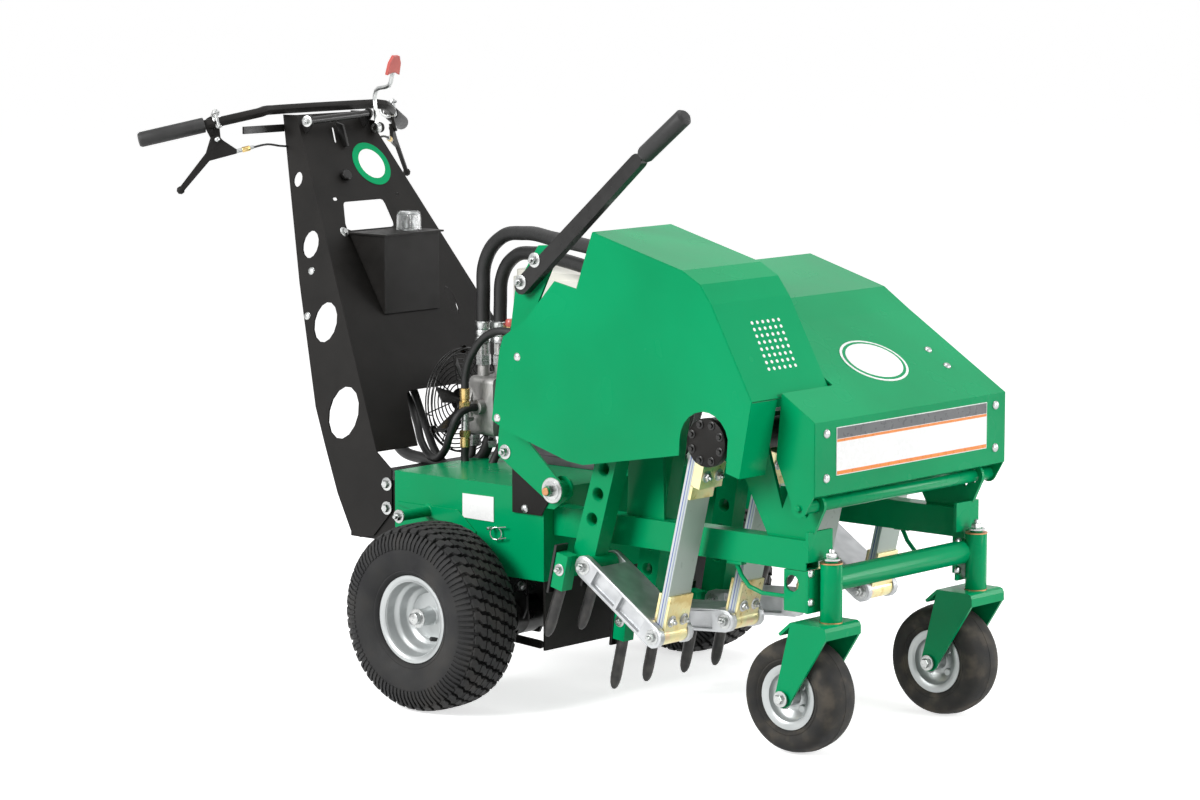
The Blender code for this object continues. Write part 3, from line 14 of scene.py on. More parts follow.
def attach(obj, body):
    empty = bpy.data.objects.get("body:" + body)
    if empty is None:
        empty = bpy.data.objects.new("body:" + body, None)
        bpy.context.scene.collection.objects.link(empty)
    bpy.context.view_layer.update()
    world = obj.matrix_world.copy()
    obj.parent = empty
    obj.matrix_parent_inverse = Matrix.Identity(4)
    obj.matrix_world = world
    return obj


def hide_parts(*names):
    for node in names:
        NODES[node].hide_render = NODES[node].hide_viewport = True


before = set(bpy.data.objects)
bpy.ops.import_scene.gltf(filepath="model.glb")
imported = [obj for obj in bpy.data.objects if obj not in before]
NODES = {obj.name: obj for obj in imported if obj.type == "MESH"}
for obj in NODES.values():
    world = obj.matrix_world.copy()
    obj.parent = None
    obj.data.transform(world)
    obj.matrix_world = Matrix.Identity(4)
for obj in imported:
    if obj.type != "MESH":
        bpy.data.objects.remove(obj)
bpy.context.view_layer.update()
SHIFT = -0.0278
EDGE = 0.0012
SHARP = radians(38)
SIDES = ((-1, "right"), (1, "left"))
UP, LEFT, RIGHT, FRONT, BACK = (0, 0, 1), (0, 1, 0), (0, -1, 0), (1, 0, 0), (-1, 0, 0)
COAT_ROUGHNESS = 0.1
PURE_WHITE = (1.0, 1.0, 1.0, 1.0)

REAR_RADIUS = 0.1905
REAR_Y = 0.408
CASTER_X = 0.81
CASTER_RADIUS = 0.1125
CASTER_Y = 0.2345
LIMB_Y = (-0.33, -0.11, 0.11, 0.33)
CRANK = Vector((0.4406, 0.7))
CRANK_RADIUS = 0.075
CRANK_PHASE = radians(55)
ARM_LENGTH = 0.4428
KNUCKLE = Vector((0.56, 0.213))
LINK_LENGTH = 0.2113
LEAF_LEAN = radians(13.6)
PUMP = (-0.01, 0.566)
PUMP_REAR = -0.21
KING_PIN_X = 0.883
PANEL_X = 0.8982
LINK_FACE = 0.05
TINE_OFFSET = 0.05
CHASSIS_FACE = -0.305
FILM = 0.0012


# Finishes

def nodes_of(name):
    made = bpy.data.materials.new(name)
    made.use_nodes = True
    return made, made.node_tree, made.node_tree.nodes["Principled BSDF"]


def set_inputs(node, values):
    for name, value in values.items():
        node.inputs[name].default_value = value


def shader_node(tree, kind, values=None):
    """A new shader node with some of its inputs set."""
    made = tree.nodes.new("ShaderNode" + kind)
    set_inputs(made, values or {})
    return made


def noise(tree, scale, detail=4.0, stretch=None):
    """A noise pattern in the piece's own coordinates."""
    place = shader_node(tree, "TexCoord").outputs["Object"]
    made = shader_node(tree, "TexNoise", {"Scale": scale, "Detail": detail})
    if stretch:
        mapping = shader_node(tree, "Mapping", {"Scale": stretch})
        tree.links.new(place, mapping.inputs["Vector"])
        place = mapping.outputs["Vector"]
    tree.links.new(place, made.inputs["Vector"])
    return made.outputs["Fac"]


def background_rays(tree):
    """1 for the rays that see the white background: camera, glossy and transmission rays."""
    path = shader_node(tree, "LightPath")
    value = path.outputs["Is Camera Ray"]
    for name in ("Is Glossy Ray", "Is Transmission Ray"):
        either = shader_node(tree, "Math")
        either.operation = "MAXIMUM"
        tree.links.new(value, either.inputs[0])
        tree.links.new(path.outputs[name], either.inputs[1])
        value = either.outputs["Value"]
    return value


def ramp(tree, value, stops):
    """Colours at places along a pattern's range."""
    made = shader_node(tree, "ValToRGB")
    tree.links.new(value, made.inputs["Fac"])
    while len(made.color_ramp.elements) < len(stops):
        made.color_ramp.elements.new(0.5)
    for element, (place, colour) in zip(made.color_ramp.elements, stops):
        element.position = place
        element.color = (*colour, 1.0)
    return made.outputs["Color"]


def span(tree, value, low, high, start=0.3, end=0.7):
    """A pattern's middle range spread from low to high."""
    made = shader_node(tree, "MapRange", {"From Min": start, "From Max": end,
                                          "To Min": low, "To Max": high})
    tree.links.new(value, made.inputs["Value"])
    return made.outputs["Result"]


def bump(tree, shader, height, distance):
    made = shader_node(tree, "Bump", {"Distance": distance, "Strength": 1.0})
    tree.links.new(height, made.inputs["Height"])
    tree.links.new(made.outputs["Normal"], shader.inputs["Normal"])


def finish(name, tints, rough, metallic=0.0, patch=20.0, grain=500.0, depth=0.0001, coat=0.0, shine=0.5):
    """A surface with slow tint patches, uneven gloss and a fine grain."""
    made, tree, shader = nodes_of(name)
    set_inputs(shader, {"Metallic": metallic, "Specular IOR Level": shine,
                        "Coat Weight": coat, "Coat Roughness": COAT_ROUGHNESS})
    steps = len(tints) - 1
    stops = [(0.32 + 0.36 * i / steps, tint) for i, tint in enumerate(tints)]
    tree.links.new(ramp(tree, noise(tree, patch, 3.0), stops), shader.inputs["Base Color"])
    tree.links.new(span(tree, noise(tree, patch * 4, 2.0), *rough, 0.2, 0.8), shader.inputs["Roughness"])
    bump(tree, shader, noise(tree, grain, 2.0), depth)
    return made


def laminate(name):
    """Glass laminate: grey-green faces, and on the cut edges its layers show as pale and blue lines."""
    made, tree, shader = nodes_of(name)
    place = shader_node(tree, "TexCoord")
    forward = Vector((cos(LEAF_LEAN), 0, -sin(LEAF_LEAN)))
    across = shader_node(tree, "VectorMath")
    across.operation = "DOT_PRODUCT"
    across.inputs[1].default_value = forward
    tree.links.new(place.outputs["Object"], across.inputs[0])
    middle = forward.x * KNUCKLE.x + forward.z * KNUCKLE.y
    layer = span(tree, across.outputs["Value"], 0.0, 1.0, middle - 0.009, middle + 0.009)
    face, pale, blue = (0.41, 0.47, 0.43), (0.66, 0.7, 0.72), (0.1, 0.15, 0.42)
    edge = ramp(tree, layer, [(0.02, face), (0.1, pale), (0.28, pale), (0.33, blue),
                              (0.42, blue), (0.47, pale), (0.7, (0.4, 0.46, 0.46)),
                              (0.76, blue), (0.82, pale), (0.97, face)])
    tree.links.new(edge, shader.inputs["Base Color"])
    tree.links.new(span(tree, noise(tree, 30.0), 0.26, 0.4), shader.inputs["Roughness"])
    bump(tree, shader, noise(tree, 160.0, 2.0, (1.0, 1.0, 0.06)), 0.00012)
    return made


GREEN = finish("green_gloss_paint", [(0.0, 0.275, 0.098), (0.0, 0.315, 0.114), (0.0, 0.345, 0.128)],
               (0.2, 0.3), patch=2.5, grain=120.0, depth=0.00002, coat=0.03, shine=0.09)
BLACK = finish("black_powder_coat", [(0.007, 0.0064, 0.0058), (0.0115, 0.0105, 0.0096)],
               (0.4, 0.54), patch=12.0, grain=900.0, depth=0.00022, shine=0.16)
GLOSS_BLACK = finish("black_enamel", [(0.0065, 0.0062, 0.006), (0.011, 0.0105, 0.01)],
                     (0.24, 0.36), patch=12.0, grain=300.0, depth=0.00005, shine=0.4)
TYRE = finish("tyre_rubber", [(0.016, 0.016, 0.017), (0.025, 0.025, 0.025), (0.038, 0.036, 0.034)],
              (0.55, 0.74), patch=16.0, grain=700.0, depth=0.00025, shine=0.22)
# Painted shade: the floor between the tread blocks is the same rubber as the blocks, made darker and less
# shiny for the shade that falls in the grooves.
GROOVE_SHADE = finish("tread_groove_painted_shade", [(0.006, 0.006, 0.006), (0.0095, 0.0095, 0.0095)],
                (0.7, 0.85), patch=16.0, grain=700.0, depth=0.00025, shine=0.05)
WORN_TYRE = finish("worn_tyre_rubber", [(0.019, 0.019, 0.019), (0.034, 0.032, 0.029), (0.085, 0.074, 0.06)],
                   (0.6, 0.8), patch=24.0, depth=0.0003, shine=0.22)
RUBBER = finish("hose_rubber", [(0.009, 0.009, 0.009), (0.016, 0.016, 0.016)],
                (0.42, 0.58), grain=1100.0, depth=0.0002, shine=0.4)
GRIP = finish("grip_rubber", [(0.011, 0.011, 0.011), (0.019, 0.019, 0.019)],
              (0.45, 0.6), patch=25.0, grain=700.0, depth=0.0004, shine=0.4)
RIM = finish("silver_rim_paint", [(0.4, 0.42, 0.42), (0.49, 0.51, 0.51)],
             (0.3, 0.42), metallic=0.6, patch=14.0, depth=0.00012)
STEEL = finish("zinc_plated_steel", [(0.4, 0.41, 0.41), (0.52, 0.53, 0.52)],
               (0.22, 0.38), metallic=1.0, patch=60.0, grain=900.0)
GOLD = finish("yellow_zinc_plate", [(0.66, 0.5, 0.2), (0.82, 0.7, 0.36), (0.74, 0.7, 0.4),
                                    (0.8, 0.58, 0.36)], (0.24, 0.4), metallic=0.75, patch=26.0, grain=600.0)
BRASS = finish("brass_fitting", [(0.52, 0.36, 0.13), (0.66, 0.5, 0.22)],
               (0.22, 0.36), metallic=1.0, patch=60.0, grain=700.0)
COPPER = finish("copper_flashed_nut", [(0.4, 0.18, 0.08), (0.55, 0.28, 0.14)],
                (0.3, 0.44), metallic=0.9, patch=80.0, grain=700.0)
CAST = finish("cast_aluminium", [(0.42, 0.43, 0.44), (0.54, 0.55, 0.56)],
              (0.34, 0.5), metallic=0.9, patch=35.0, grain=420.0, depth=0.0005)
PUMP_CAST = finish("grey_casting", [(0.26, 0.26, 0.25), (0.38, 0.37, 0.36)],
                   (0.45, 0.62), metallic=0.6, patch=30.0, grain=350.0, depth=0.0006)
ENGINE = finish("engine_casting", [(0.045, 0.045, 0.047), (0.08, 0.08, 0.083)],
                (0.4, 0.58), metallic=0.3, patch=25.0, grain=380.0, depth=0.0004)
TANK = finish("moulded_tank_plastic", [(0.66, 0.65, 0.58), (0.74, 0.73, 0.67)],
              (0.34, 0.46), patch=10.0, depth=0.0002)
RED = finish("red_dipped_vinyl", [(0.5, 0.085, 0.07), (0.6, 0.12, 0.098)],
             (0.28, 0.42), patch=30.0, depth=0.0002, coat=0.2)
WHITE = finish("white_decal_film", [(0.9, 0.91, 0.9), (0.93, 0.93, 0.92)],
               (0.22, 0.32), grain=300.0, depth=0.00001)
ORANGE = finish("orange_decal_film", [(0.8, 0.21, 0.015), (0.86, 0.26, 0.025)],
                (0.24, 0.34), grain=300.0, depth=0.00001)
SLATE = finish("slate_decal_film", [(0.085, 0.09, 0.095), (0.12, 0.125, 0.13)],
               (0.24, 0.34), grain=300.0, depth=0.00001)
TINE = finish("hardened_tine_steel", [(0.016, 0.016, 0.016), (0.034, 0.033, 0.032), (0.06, 0.056, 0.052)],
              (0.34, 0.55), metallic=0.35, patch=40.0, grain=600.0, depth=0.0003)
LEAF = laminate("glass_laminate")
CLEAR = finish("clear_cap_plastic", [(0.8, 0.82, 0.82), (0.88, 0.89, 0.89)],
               (0.05, 0.12), patch=40.0, grain=200.0, depth=0.00005)
set_inputs(CLEAR.node_tree.nodes["Principled BSDF"], {"Transmission Weight": 0.92})


# Shapes

def mm(*rows):
    """A table of lengths in millimetres, given back in metres."""
    return [tuple(value / 1000 for value in row) for row in rows]


def turned(mesh, profile, place, steps=32, closed=False):
    """A profile of (radius, height) turned about the local Z of a placing matrix."""
    rings = []
    for radius, height in profile:
        if radius < 1e-6:
            rings.append([mesh.verts.new(place @ Vector((0, 0, height)))])
            continue
        ring = []
        for i in range(steps):
            angle = 2 * pi * i / steps
            ring.append(mesh.verts.new(place @ Vector((radius * cos(angle), radius * sin(angle), height))))
        rings.append(ring)
    pairs = list(zip(rings, rings[1:]))
    if closed:
        pairs.append((rings[-1], rings[0]))
    for low, high in pairs:
        for i in range(steps):
            k = (i + 1) % steps
            if len(low) == 1 and len(high) > 1:
                mesh.faces.new((low[0], high[i], high[k]))
            elif len(high) == 1 and len(low) > 1:
                mesh.faces.new((low[i], low[k], high[0]))
            elif len(low) > 1:
                mesh.faces.new((low[i], low[k], high[k], high[i]))


def skin(mesh, low, high):
    """Quads between two rings of the same length."""
    for i in range(len(low)):
        k = (i + 1) % len(low)
        mesh.faces.new((low[i], low[k], high[k], high[i]))


def both_sides(half):
    """A half profile that ends on the middle plane, with its mirror image."""
    return half + [(r, -y) for r, y in reversed(half[:-1])]


def facing(point, direction):
    """A matrix at a point whose Z looks along a direction."""
    turn = Vector(direction).to_track_quat("Z", "Y").to_matrix().to_4x4()
    return Matrix.Translation(point) @ turn


def prism(mesh, outline, low, high, holes=()):
    """An outline in the local XZ plane, drawn out along Y from low to high, with through holes."""
    loops = [outline, *holes]
    flat = [Vector((a, b, 0)) for loop in loops for a, b in loop]
    sides = []
    for y in (low, high):
        sides.append([mesh.verts.new((p.x, y, p.y)) for p in flat])
    for triangle in tessellate_polygon([[Vector((a, b, 0)) for a, b in loop] for loop in loops]):
        for side in sides:
            mesh.faces.new([side[i] for i in triangle])
    start = 0
    for loop in loops:
        end = start + len(loop)
        skin(mesh, sides[0][start:end], sides[1][start:end])
        start = end


def circle(centre, radius):
    angles = [2 * pi * i / 24 for i in range(24)]
    return [(centre[0] + radius * cos(a), centre[1] + radius * sin(a)) for a in angles]


def capsule(start, end, radius):
    """A long round-ended outline between two points."""
    line = atan2(end[1] - start[1], end[0] - start[0])
    outline = []
    for centre, first in ((end, line - pi / 2), (start, line + pi / 2)):
        for i in range(11):
            angle = first + pi * i / 10
            outline.append((centre[0] + radius * cos(angle), centre[1] + radius * sin(angle)))
    return outline


def tilted(origin, lean):
    """Places forward and up from an origin, leaning towards +X."""
    forward, up = Vector((cos(lean), -sin(lean))), Vector((sin(lean), cos(lean)))
    return lambda a, b: tuple(Vector(origin) + forward * a + up * b)


def add(name, mesh, paint, body="frame", bevel=0.0, replaces=()):
    """Makes a piece from a mesh, in its place, riding on a body."""
    bmesh.ops.recalc_face_normals(mesh, faces=mesh.faces)
    for face in mesh.faces:
        face.smooth = True
    data = bpy.data.meshes.new(name)
    mesh.to_mesh(data)
    mesh.free()
    data.set_sharp_from_angle(angle=SHARP)
    data.materials.append(paint)
    settle(bpy.data.objects.new(name, data), body, bevel, replaces)


def settle(piece, body, bevel, replaces):
    bpy.context.scene.collection.objects.link(piece)
    piece.location = (SHIFT, 0, 0)
    if bevel:
        soften(piece, bevel)
    bpy.context.view_layer.update()
    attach(piece, body)
    if replaces:
        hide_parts(*replaces)


def soften(piece, width, angle=40):
    """A small round on every sharp edge, as pressed, cast and moulded pieces have."""
    rounded = piece.modifiers.new("edges", "BEVEL")
    rounded.width = width
    rounded.segments = 2
    rounded.limit_method = "ANGLE"
    rounded.angle_limit = radians(angle)
    rounded.use_clamp_overlap = True
    rounded.harden_normals = True


def pipe(name, points, radius, replaces=()):
    """A round rubber hose through points, on the frame."""
    data = bpy.data.curves.new(name, "CURVE")
    data.dimensions = "3D"
    data.bevel_depth = radius
    data.bevel_resolution = 5
    data.use_fill_caps = True
    spline = data.splines.new("BEZIER")
    spline.bezier_points.add(len(points) - 1)
    for place, point in zip(spline.bezier_points, points):
        place.co = point
        place.handle_left_type = "AUTO"
        place.handle_right_type = "AUTO"
    spline.resolution_u = 12
    data.materials.append(RUBBER)
    settle(bpy.data.objects.new(name, data), "frame", 0.0, replaces)


def bolt(mesh, point, direction, across, kind):
    """A fastener seated at a point: a washer with a hex head, a nut on a stud, or a domed head."""
    place = facing(point, direction)
    corner = across / sqrt(3)
    sunk = -0.002
    if kind == "dome":
        turned(mesh, [(across * 0.75, sunk), (across * 0.75, 0.0008), (across * 0.66, 0.003),
                      (across * 0.42, 0.0048), (0, 0.0054)], place, 20)
        return
    turned(mesh, [(across * 0.92, sunk), (across * 0.92, 0.0013), (across * 0.86, 0.0016),
                  (0, 0.0016)], place, 24)
    height = across * 0.62
    turned(mesh, [(corner, 0.001), (corner, height * 0.84), (corner * 0.86, height), (0, height)], place, 6)
    if kind == "nut":
        thread = across * 0.3
        turned(mesh, [(thread, height * 0.5), (thread, height * 1.45), (thread * 0.8, height * 1.6),
                      (0, height * 1.6)], place, 16)


def rod(mesh, start, end, radius, steps=20):
    """A straight round rod with eased ends."""
    start, end = Vector(start), Vector(end)
    length = (end - start).length
    edge = min(0.0012, radius * 0.4)
    profile = [(0, 0), (radius - edge, 0), (radius, edge), (radius, length - edge),
               (radius - edge, length), (0, length)]
    turned(mesh, profile, facing(start, end - start), steps)


def hoop(mesh, place, radius, wire, height=0.0, steps=44):
    """A ring of round wire about the local Z."""
    angles = [pi / 4 * i for i in range(8)]
    turned(mesh, [(radius + wire * cos(a), height + wire * sin(a)) for a in angles], place,
           steps, closed=True)


def fasteners(name, *groups, body="frame", paint=STEEL):
    """All fasteners of one finish on one body. A group is (places, direction, across, kind)."""
    mesh = bmesh.new()
    for places, direction, across, kind in groups:
        for point in places:
            bolt(mesh, point, direction, across, kind)
    add(name, mesh, paint, body)


# The CAD nodes that keep their shape

THIN = {"brake_cable_left": 0.0, "brake_cable_right": 0.0, "cooling_fan": 0.0004, "drive_lever": 0.0004}


def carry_over():
    """Finishes the nodes that keep their shape: folded sheet stays crisp, the rest is shaded round."""
    painted = {
        GREEN: (["chassis_box", "hood_front", "hood_main", "hood_side_left", "side_frame_left",
                 "side_frame_right", "caster_fork_left", "caster_fork_right", "lift_arm"],
                ["front_beam", "hood_pivot_tube"]),
        BLACK: (["handle_tower", "tower_bracket", "oil_tank", "rear_guard"],
                ["leaf_carrier", "handlebar", "brake_lever_left", "brake_lever_right"]),
        GLOSS_BLACK: (["lift_bar"], ["cooling_fan"]),
        GRIP: ([], ["grip_left", "grip_right", "lift_grip"]),
        STEEL: ([], ["crankshaft", "rear_axle", "drive_lever"]),
        CAST: ([], ["link_1", "link_2", "link_3", "link_4"]),
        PUMP_CAST: ([], ["pump", "hydraulic_motor"]),
        ENGINE: ([], ["engine_block"]),
        TANK: ([], ["fuel_tank"]),
        RED: (["drive_paddle"], []),
        RUBBER: ([], ["brake_cable_left", "brake_cable_right"]),
    }
    for paint, (folded, rounded) in painted.items():
        for name in folded + rounded:
            node = NODES[name]
            node.data.materials.clear()
            node.data.materials.append(paint)
            for face in node.data.polygons:
                face.use_smooth = name in rounded
            weld = node.modifiers.new("weld", "WELD")
            weld.merge_threshold = 0.00002
            width = THIN.get(name, EDGE)
            if width:
                soften(node, width, 8 if name in folded else 40)


# Wheels

TREAD_CROWN = mm((0, 190.3), (22, 190), (40, 188.6), (54, 184.6), (66, 175.2), (75.2, 150))
TREAD_DEPTH = 0.0075
TREAD_ROOT = 0.003


def crown(v):
    """Radius of the tread's crown at a distance from the tyre's middle plane."""
    v = abs(v)
    for (v0, r0), (v1, r1) in zip(TREAD_CROWN, TREAD_CROWN[1:]):
        if v <= v1:
            return r0 + (r1 - r0) * (v - v0) / (v1 - v0)
    return TREAD_CROWN[-1][1]


def raised(mesh, place, ring):
    """A tread block: a ring of (angle, across) places, from under the tread floor up to the crown."""
    upper = [mesh.verts.new(place @ polar(crown(v), a, v)) for a, v in ring]
    lower = [mesh.verts.new(place @ polar(crown(v) - TREAD_DEPTH - TREAD_ROOT, a, v)) for a, v in ring]
    mesh.faces.new(upper)
    skin(mesh, lower, upper)


def turf_tyre(side, name):
    """A rounded carcass with rows of stepped turf blocks and fine ribs on its shoulders."""
    centre = (0, side * REAR_Y, REAR_RADIUS)
    place = facing(centre, LEFT)
    base = mm((76.5, 54.5), (90, 54.5), (92.5, 59.5), (98, 63.5), (100, 62.8), (102, 64.5),
              (125, 72.2), (140, 73.5), (154, 71.6), (164, 67.2), (171.5, 60), (177, 50), (181, 36),
              (182.8, 18), (183.2, 0))
    mesh = bmesh.new()
    turned(mesh, both_sides(base), place, 96, closed=True)
    grooves = mm((177.5, 49.2), (181.6, 36), (183.4, 18), (183.8, 0))
    band = bmesh.new()
    turned(band, both_sides(grooves), place, 96)
    # The groove floor band carries the painted shade of the tread's recesses.
    add(f"tread_floor_{name}", band, GROOVE_SHADE, f"rear_wheel_{name}")
    count, rows, lane = 46, 5, 0.0245
    pitch = 2 * pi / count
    half, step, wide = lane * 0.455, pitch * 0.19, pitch * 0.335
    shape = [(-wide - step, -half), (-wide - step, -half * 0.3), (-wide + step, half * 0.3),
             (-wide + step, half), (wide + step, half), (wide + step, half * 0.3),
             (wide - step, -half * 0.3), (wide - step, -half)]
    for row in range(rows):
        middle = (row - (rows - 1) / 2) * lane
        for i in range(count):
            first = (i + 0.5 * (row % 2)) * pitch
            ring = [(first + a, middle + v) for a, v in shape]
            raised(mesh, place, ring)
    ends, rib = mm((144, 73.8), (158, 71.6), (169, 65.5), (176.2, 60.8)), pitch * 0.14
    for face in (-1, 1):
        for i in range(2 * count):
            first = i * pitch / 2
            edges = []
            for angle in (first - rib, first + rib):
                for sunk, lift in ((0.0, 0.0016), (0.003, -0.004)):
                    edges.append([place @ polar(r - sunk, angle, face * (y + lift)) for r, y in ends])
            strips = [[mesh.verts.new(p) for p in edge] for edge in edges]
            for a, b in ((0, 1), (0, 2), (2, 3)):
                for k in range(len(ends) - 1):
                    mesh.faces.new((strips[a][k], strips[a][k + 1], strips[b][k + 1], strips[b][k]))
            mesh.faces.new((strips[0][0], strips[2][0], strips[3][0], strips[1][0]))
    add(f"turf_tyre_{name}", mesh, TYRE, f"rear_wheel_{name}", 0.0007, [f"rear_tyre_{name}"])


def polar(radius, angle, height):
    return Vector((radius * cos(angle), radius * sin(angle), height))


def rear_rim(side, name):
    """A pressed rim with rolled flanges, a stepped dish, a hub with its washer and a valve."""
    centre = (0, side * REAR_Y, REAR_RADIUS)
    outward = (0, side, 0)
    place = facing(centre, outward)
    outer = mm((12.8, 39), (16.5, 39), (17.5, 38), (17.8, 4), (20, 2), (47, 2), (50, 6), (56, 8), (60, 12),
               (63, 24), (66, 28), (70.5, 30), (73, 34), (74.5, 50), (77, 54.5), (83, 57.2), (87, 58),
               (89, 57.4), (89.5, 55.6))
    inner = mm((76.2, 54.5), (76.2, 44), (73.5, 32), (73.5, -36), (76.2, -44), (76.2, -54.5), (89.5, -55.6),
               (88.5, -57.4), (85.5, -58), (74, -56), (71.5, -53), (64, 4), (56, 0), (47, -4), (26, -4),
               (25.5, -38.5), (24, -40), (12.8, -40))
    mesh = bmesh.new()
    turned(mesh, outer + inner, place, 64, closed=True)
    add(f"rear_rim_{name}_pressed", mesh, RIM, f"rear_wheel_{name}", 0.0, [f"rear_rim_{name}"])
    hub = (0, side * (REAR_Y + 0.0395), REAR_RADIUS)
    fasteners(f"rear_hub_nut_{name}", ([hub], outward, 0.021, "hex"), body=f"rear_wheel_{name}")
    mesh = bmesh.new()
    lean = facing((0.044, side * (REAR_Y + 0.012), REAR_RADIUS - 0.043), (-0.22, side, 0.2))
    turned(mesh, mm((6.2, -12), (5.8, 4), (4.2, 8), (4, 20), (4.6, 20.5), (4.6, 29), (3.6, 31),
                    (0, 31)), lean, 16)
    add(f"valve_stem_{name}", mesh, RUBBER, f"rear_wheel_{name}")


def caster_wheel(side, name):
    """A smooth tyre with a moulded centre rib on a pressed rim."""
    centre = (CASTER_X, side * CASTER_Y, CASTER_RADIUS)
    place = facing(centre, LEFT)
    base = mm((51.2, 36), (64, 36), (66.8, 39), (72, 42), (74.5, 41.2), (77, 43), (85, 44.6), (94, 44),
              (101, 40.4), (105.6, 34), (108.6, 25), (110.6, 13), (111.3, 1.2), (111.9, 0.6), (112, 0))
    mesh = bmesh.new()
    turned(mesh, both_sides(base), place, 72, closed=True)
    add(f"smooth_tyre_{name}", mesh, WORN_TYRE, f"caster_wheel_{name}", 0.0,
        [f"caster_tyre_{name}"])
    side_a = mm((8.5, 45), (16.5, 45), (17.5, 44), (18, 20), (22, 18), (30, 18.5), (35, 22.5), (42, 24.5),
                (46.5, 30), (48, 36.5), (52, 38.5), (60, 39.5), (63.4, 39), (63.9, 37.2), (51, 36.3))
    side_b = [(r, -y) for r, y in reversed(side_a)]
    mesh = bmesh.new()
    turned(mesh, side_a + side_b, place, 56, closed=True)
    for i in range(4):
        angle = pi / 4 + pi / 2 * i
        for face in (-1, 1):
            at = Vector(centre) + Vector((0.031 * cos(angle), face * 0.0175, 0.031 * sin(angle)))
            turned(mesh, mm((8.5, -2), (8, 4), (6.2, 5.8), (0, 6.2)), facing(at, (0, face, 0)), 20)
    add(f"caster_rim_{name}_pressed", mesh, RIM, f"caster_wheel_{name}", 0.0,
        [f"caster_rim_{name}"])
    right, left = [(CASTER_X, side * CASTER_Y + face * 0.0615, CASTER_RADIUS) for face in (-1, 1)]
    fasteners(f"caster_axle_nuts_{name}", ([right], RIGHT, 0.017, "hex"), ([left], LEFT, 0.017, "nut"),
              body=f"caster_fork_{name}")


# Crank limbs

def crank_pin(index):
    phase = CRANK_PHASE if index in (0, 3) else CRANK_PHASE + pi
    return CRANK + CRANK_RADIUS * Vector((cos(phase), sin(phase)))


def arm_foot(index):
    pin = crank_pin(index)
    reach = KNUCKLE - pin
    along = (ARM_LENGTH ** 2 - LINK_LENGTH ** 2 + reach.length_squared) / (2 * reach.length)
    across = sqrt(ARM_LENGTH ** 2 - along ** 2)
    way = reach.normalized()
    return pin + way * along + way.orthogonal() * -across


def spun_y(mesh, y, half, x, z):
    """A half profile of (radius, distance from y) turned about an axis along Y, on both sides of y."""
    profile = [(r, d - y) for r, d in half] + [(r, -y - d) for r, d in reversed(half)]
    turned(mesh, profile, facing((x, 0, z), RIGHT), 32, closed=True)


def block(mesh, at, back, front, low, high, y, width):
    """A straight block on a leaning limb, as wide on both sides of y."""
    prism(mesh, [at(back, low), at(front, low), at(front, high), at(back, high)], y - width, y + width)


def tine_arm(index):
    """The green arm with rolled holes, big end and holders, and its two black coring tines."""
    y, pin, foot = LIMB_Y[index], crank_pin(index), arm_foot(index)
    body = f"tine_arm_{index + 1}"
    lean = atan2(pin.x - foot.x, pin.y - foot.y)
    at = tilted(foot, lean)
    setback, half, width = 0.03, 0.028, 0.02
    mesh = bmesh.new()
    centres = []
    for step in range(3):
        up = 0.0874 + step * 0.0533
        centres.append(at(-setback * (1 - up / ARM_LENGTH), up))
    shank = [at(-setback - half, -0.01), at(-setback + half, -0.01), at(half * 0.8, ARM_LENGTH),
             at(-half * 0.8, ARM_LENGTH)]
    prism(mesh, shank, y - width, y + width, holes=[circle(c, 0.0135) for c in centres])
    for face in (-1, 1):
        for c in centres:
            ring = mm((11.2, -12), (11.8, -4), (13.6, -0.6), (15, 0.6), (16.6, -1))
            turned(mesh, ring, facing((c[0], y + face * width, c[1]), (0, face, 0)), 24)
    spun_y(mesh, y, mm((18.2, 20.5), (30, 20.5), (32, 18)), *pin)
    spun_y(mesh, y, mm((4, 35.5), (17.5, 35.5), (19, 34)), *foot)
    prism(mesh, capsule(foot, at(-setback, 0.01), 0.0175), y - 0.014, y + 0.014)
    back, depth = 0.046, 0.015
    block(mesh, at, -back, -setback, -0.022, 0.008, y, TINE_OFFSET)
    for face in (-1, 1):
        middle = y + face * TINE_OFFSET
        block(mesh, at, -back - depth, -back + depth, -0.06, 0.012, middle, depth)
    add(f"{body}_forging", mesh, GREEN, body, 0.0016, [body])
    mesh, studs, slides = bmesh.new(), bmesh.new(), bmesh.new()
    x, z = at(-back, -0.06)
    r = 0.0115
    for face in (-1, 1):
        middle = y + face * TINE_OFFSET
        place = Matrix.Translation((x, middle, z)) @ Matrix.Rotation(lean + radians(7), 4, "Y")
        place = place @ Matrix.Translation((0, 0, 0.06))
        turned(mesh, [(r, -0.052), (r, -0.1335), (r * 0.96, -0.144), (r * 0.84, -0.154), (r * 0.62, -0.162),
                      (r * 0.32, -0.1668), (0, -0.168)], place, 24)
        nut_x, nut_z = at(-back, -0.02)
        bolt(studs, (nut_x, middle + face * depth, nut_z), (0, face, 0), 0.013, "nut")
        block(slides, at, -back - 0.021, -back - 0.0152, -0.074, 0.026, middle, 0.018)
    add(f"tines_{index + 1}", mesh, TINE, body)
    add(f"tine_bolts_{index + 1}", studs, STEEL, body)
    add(f"tine_slides_{index + 1}", slides, GLOSS_BLACK, body, 0.0008)


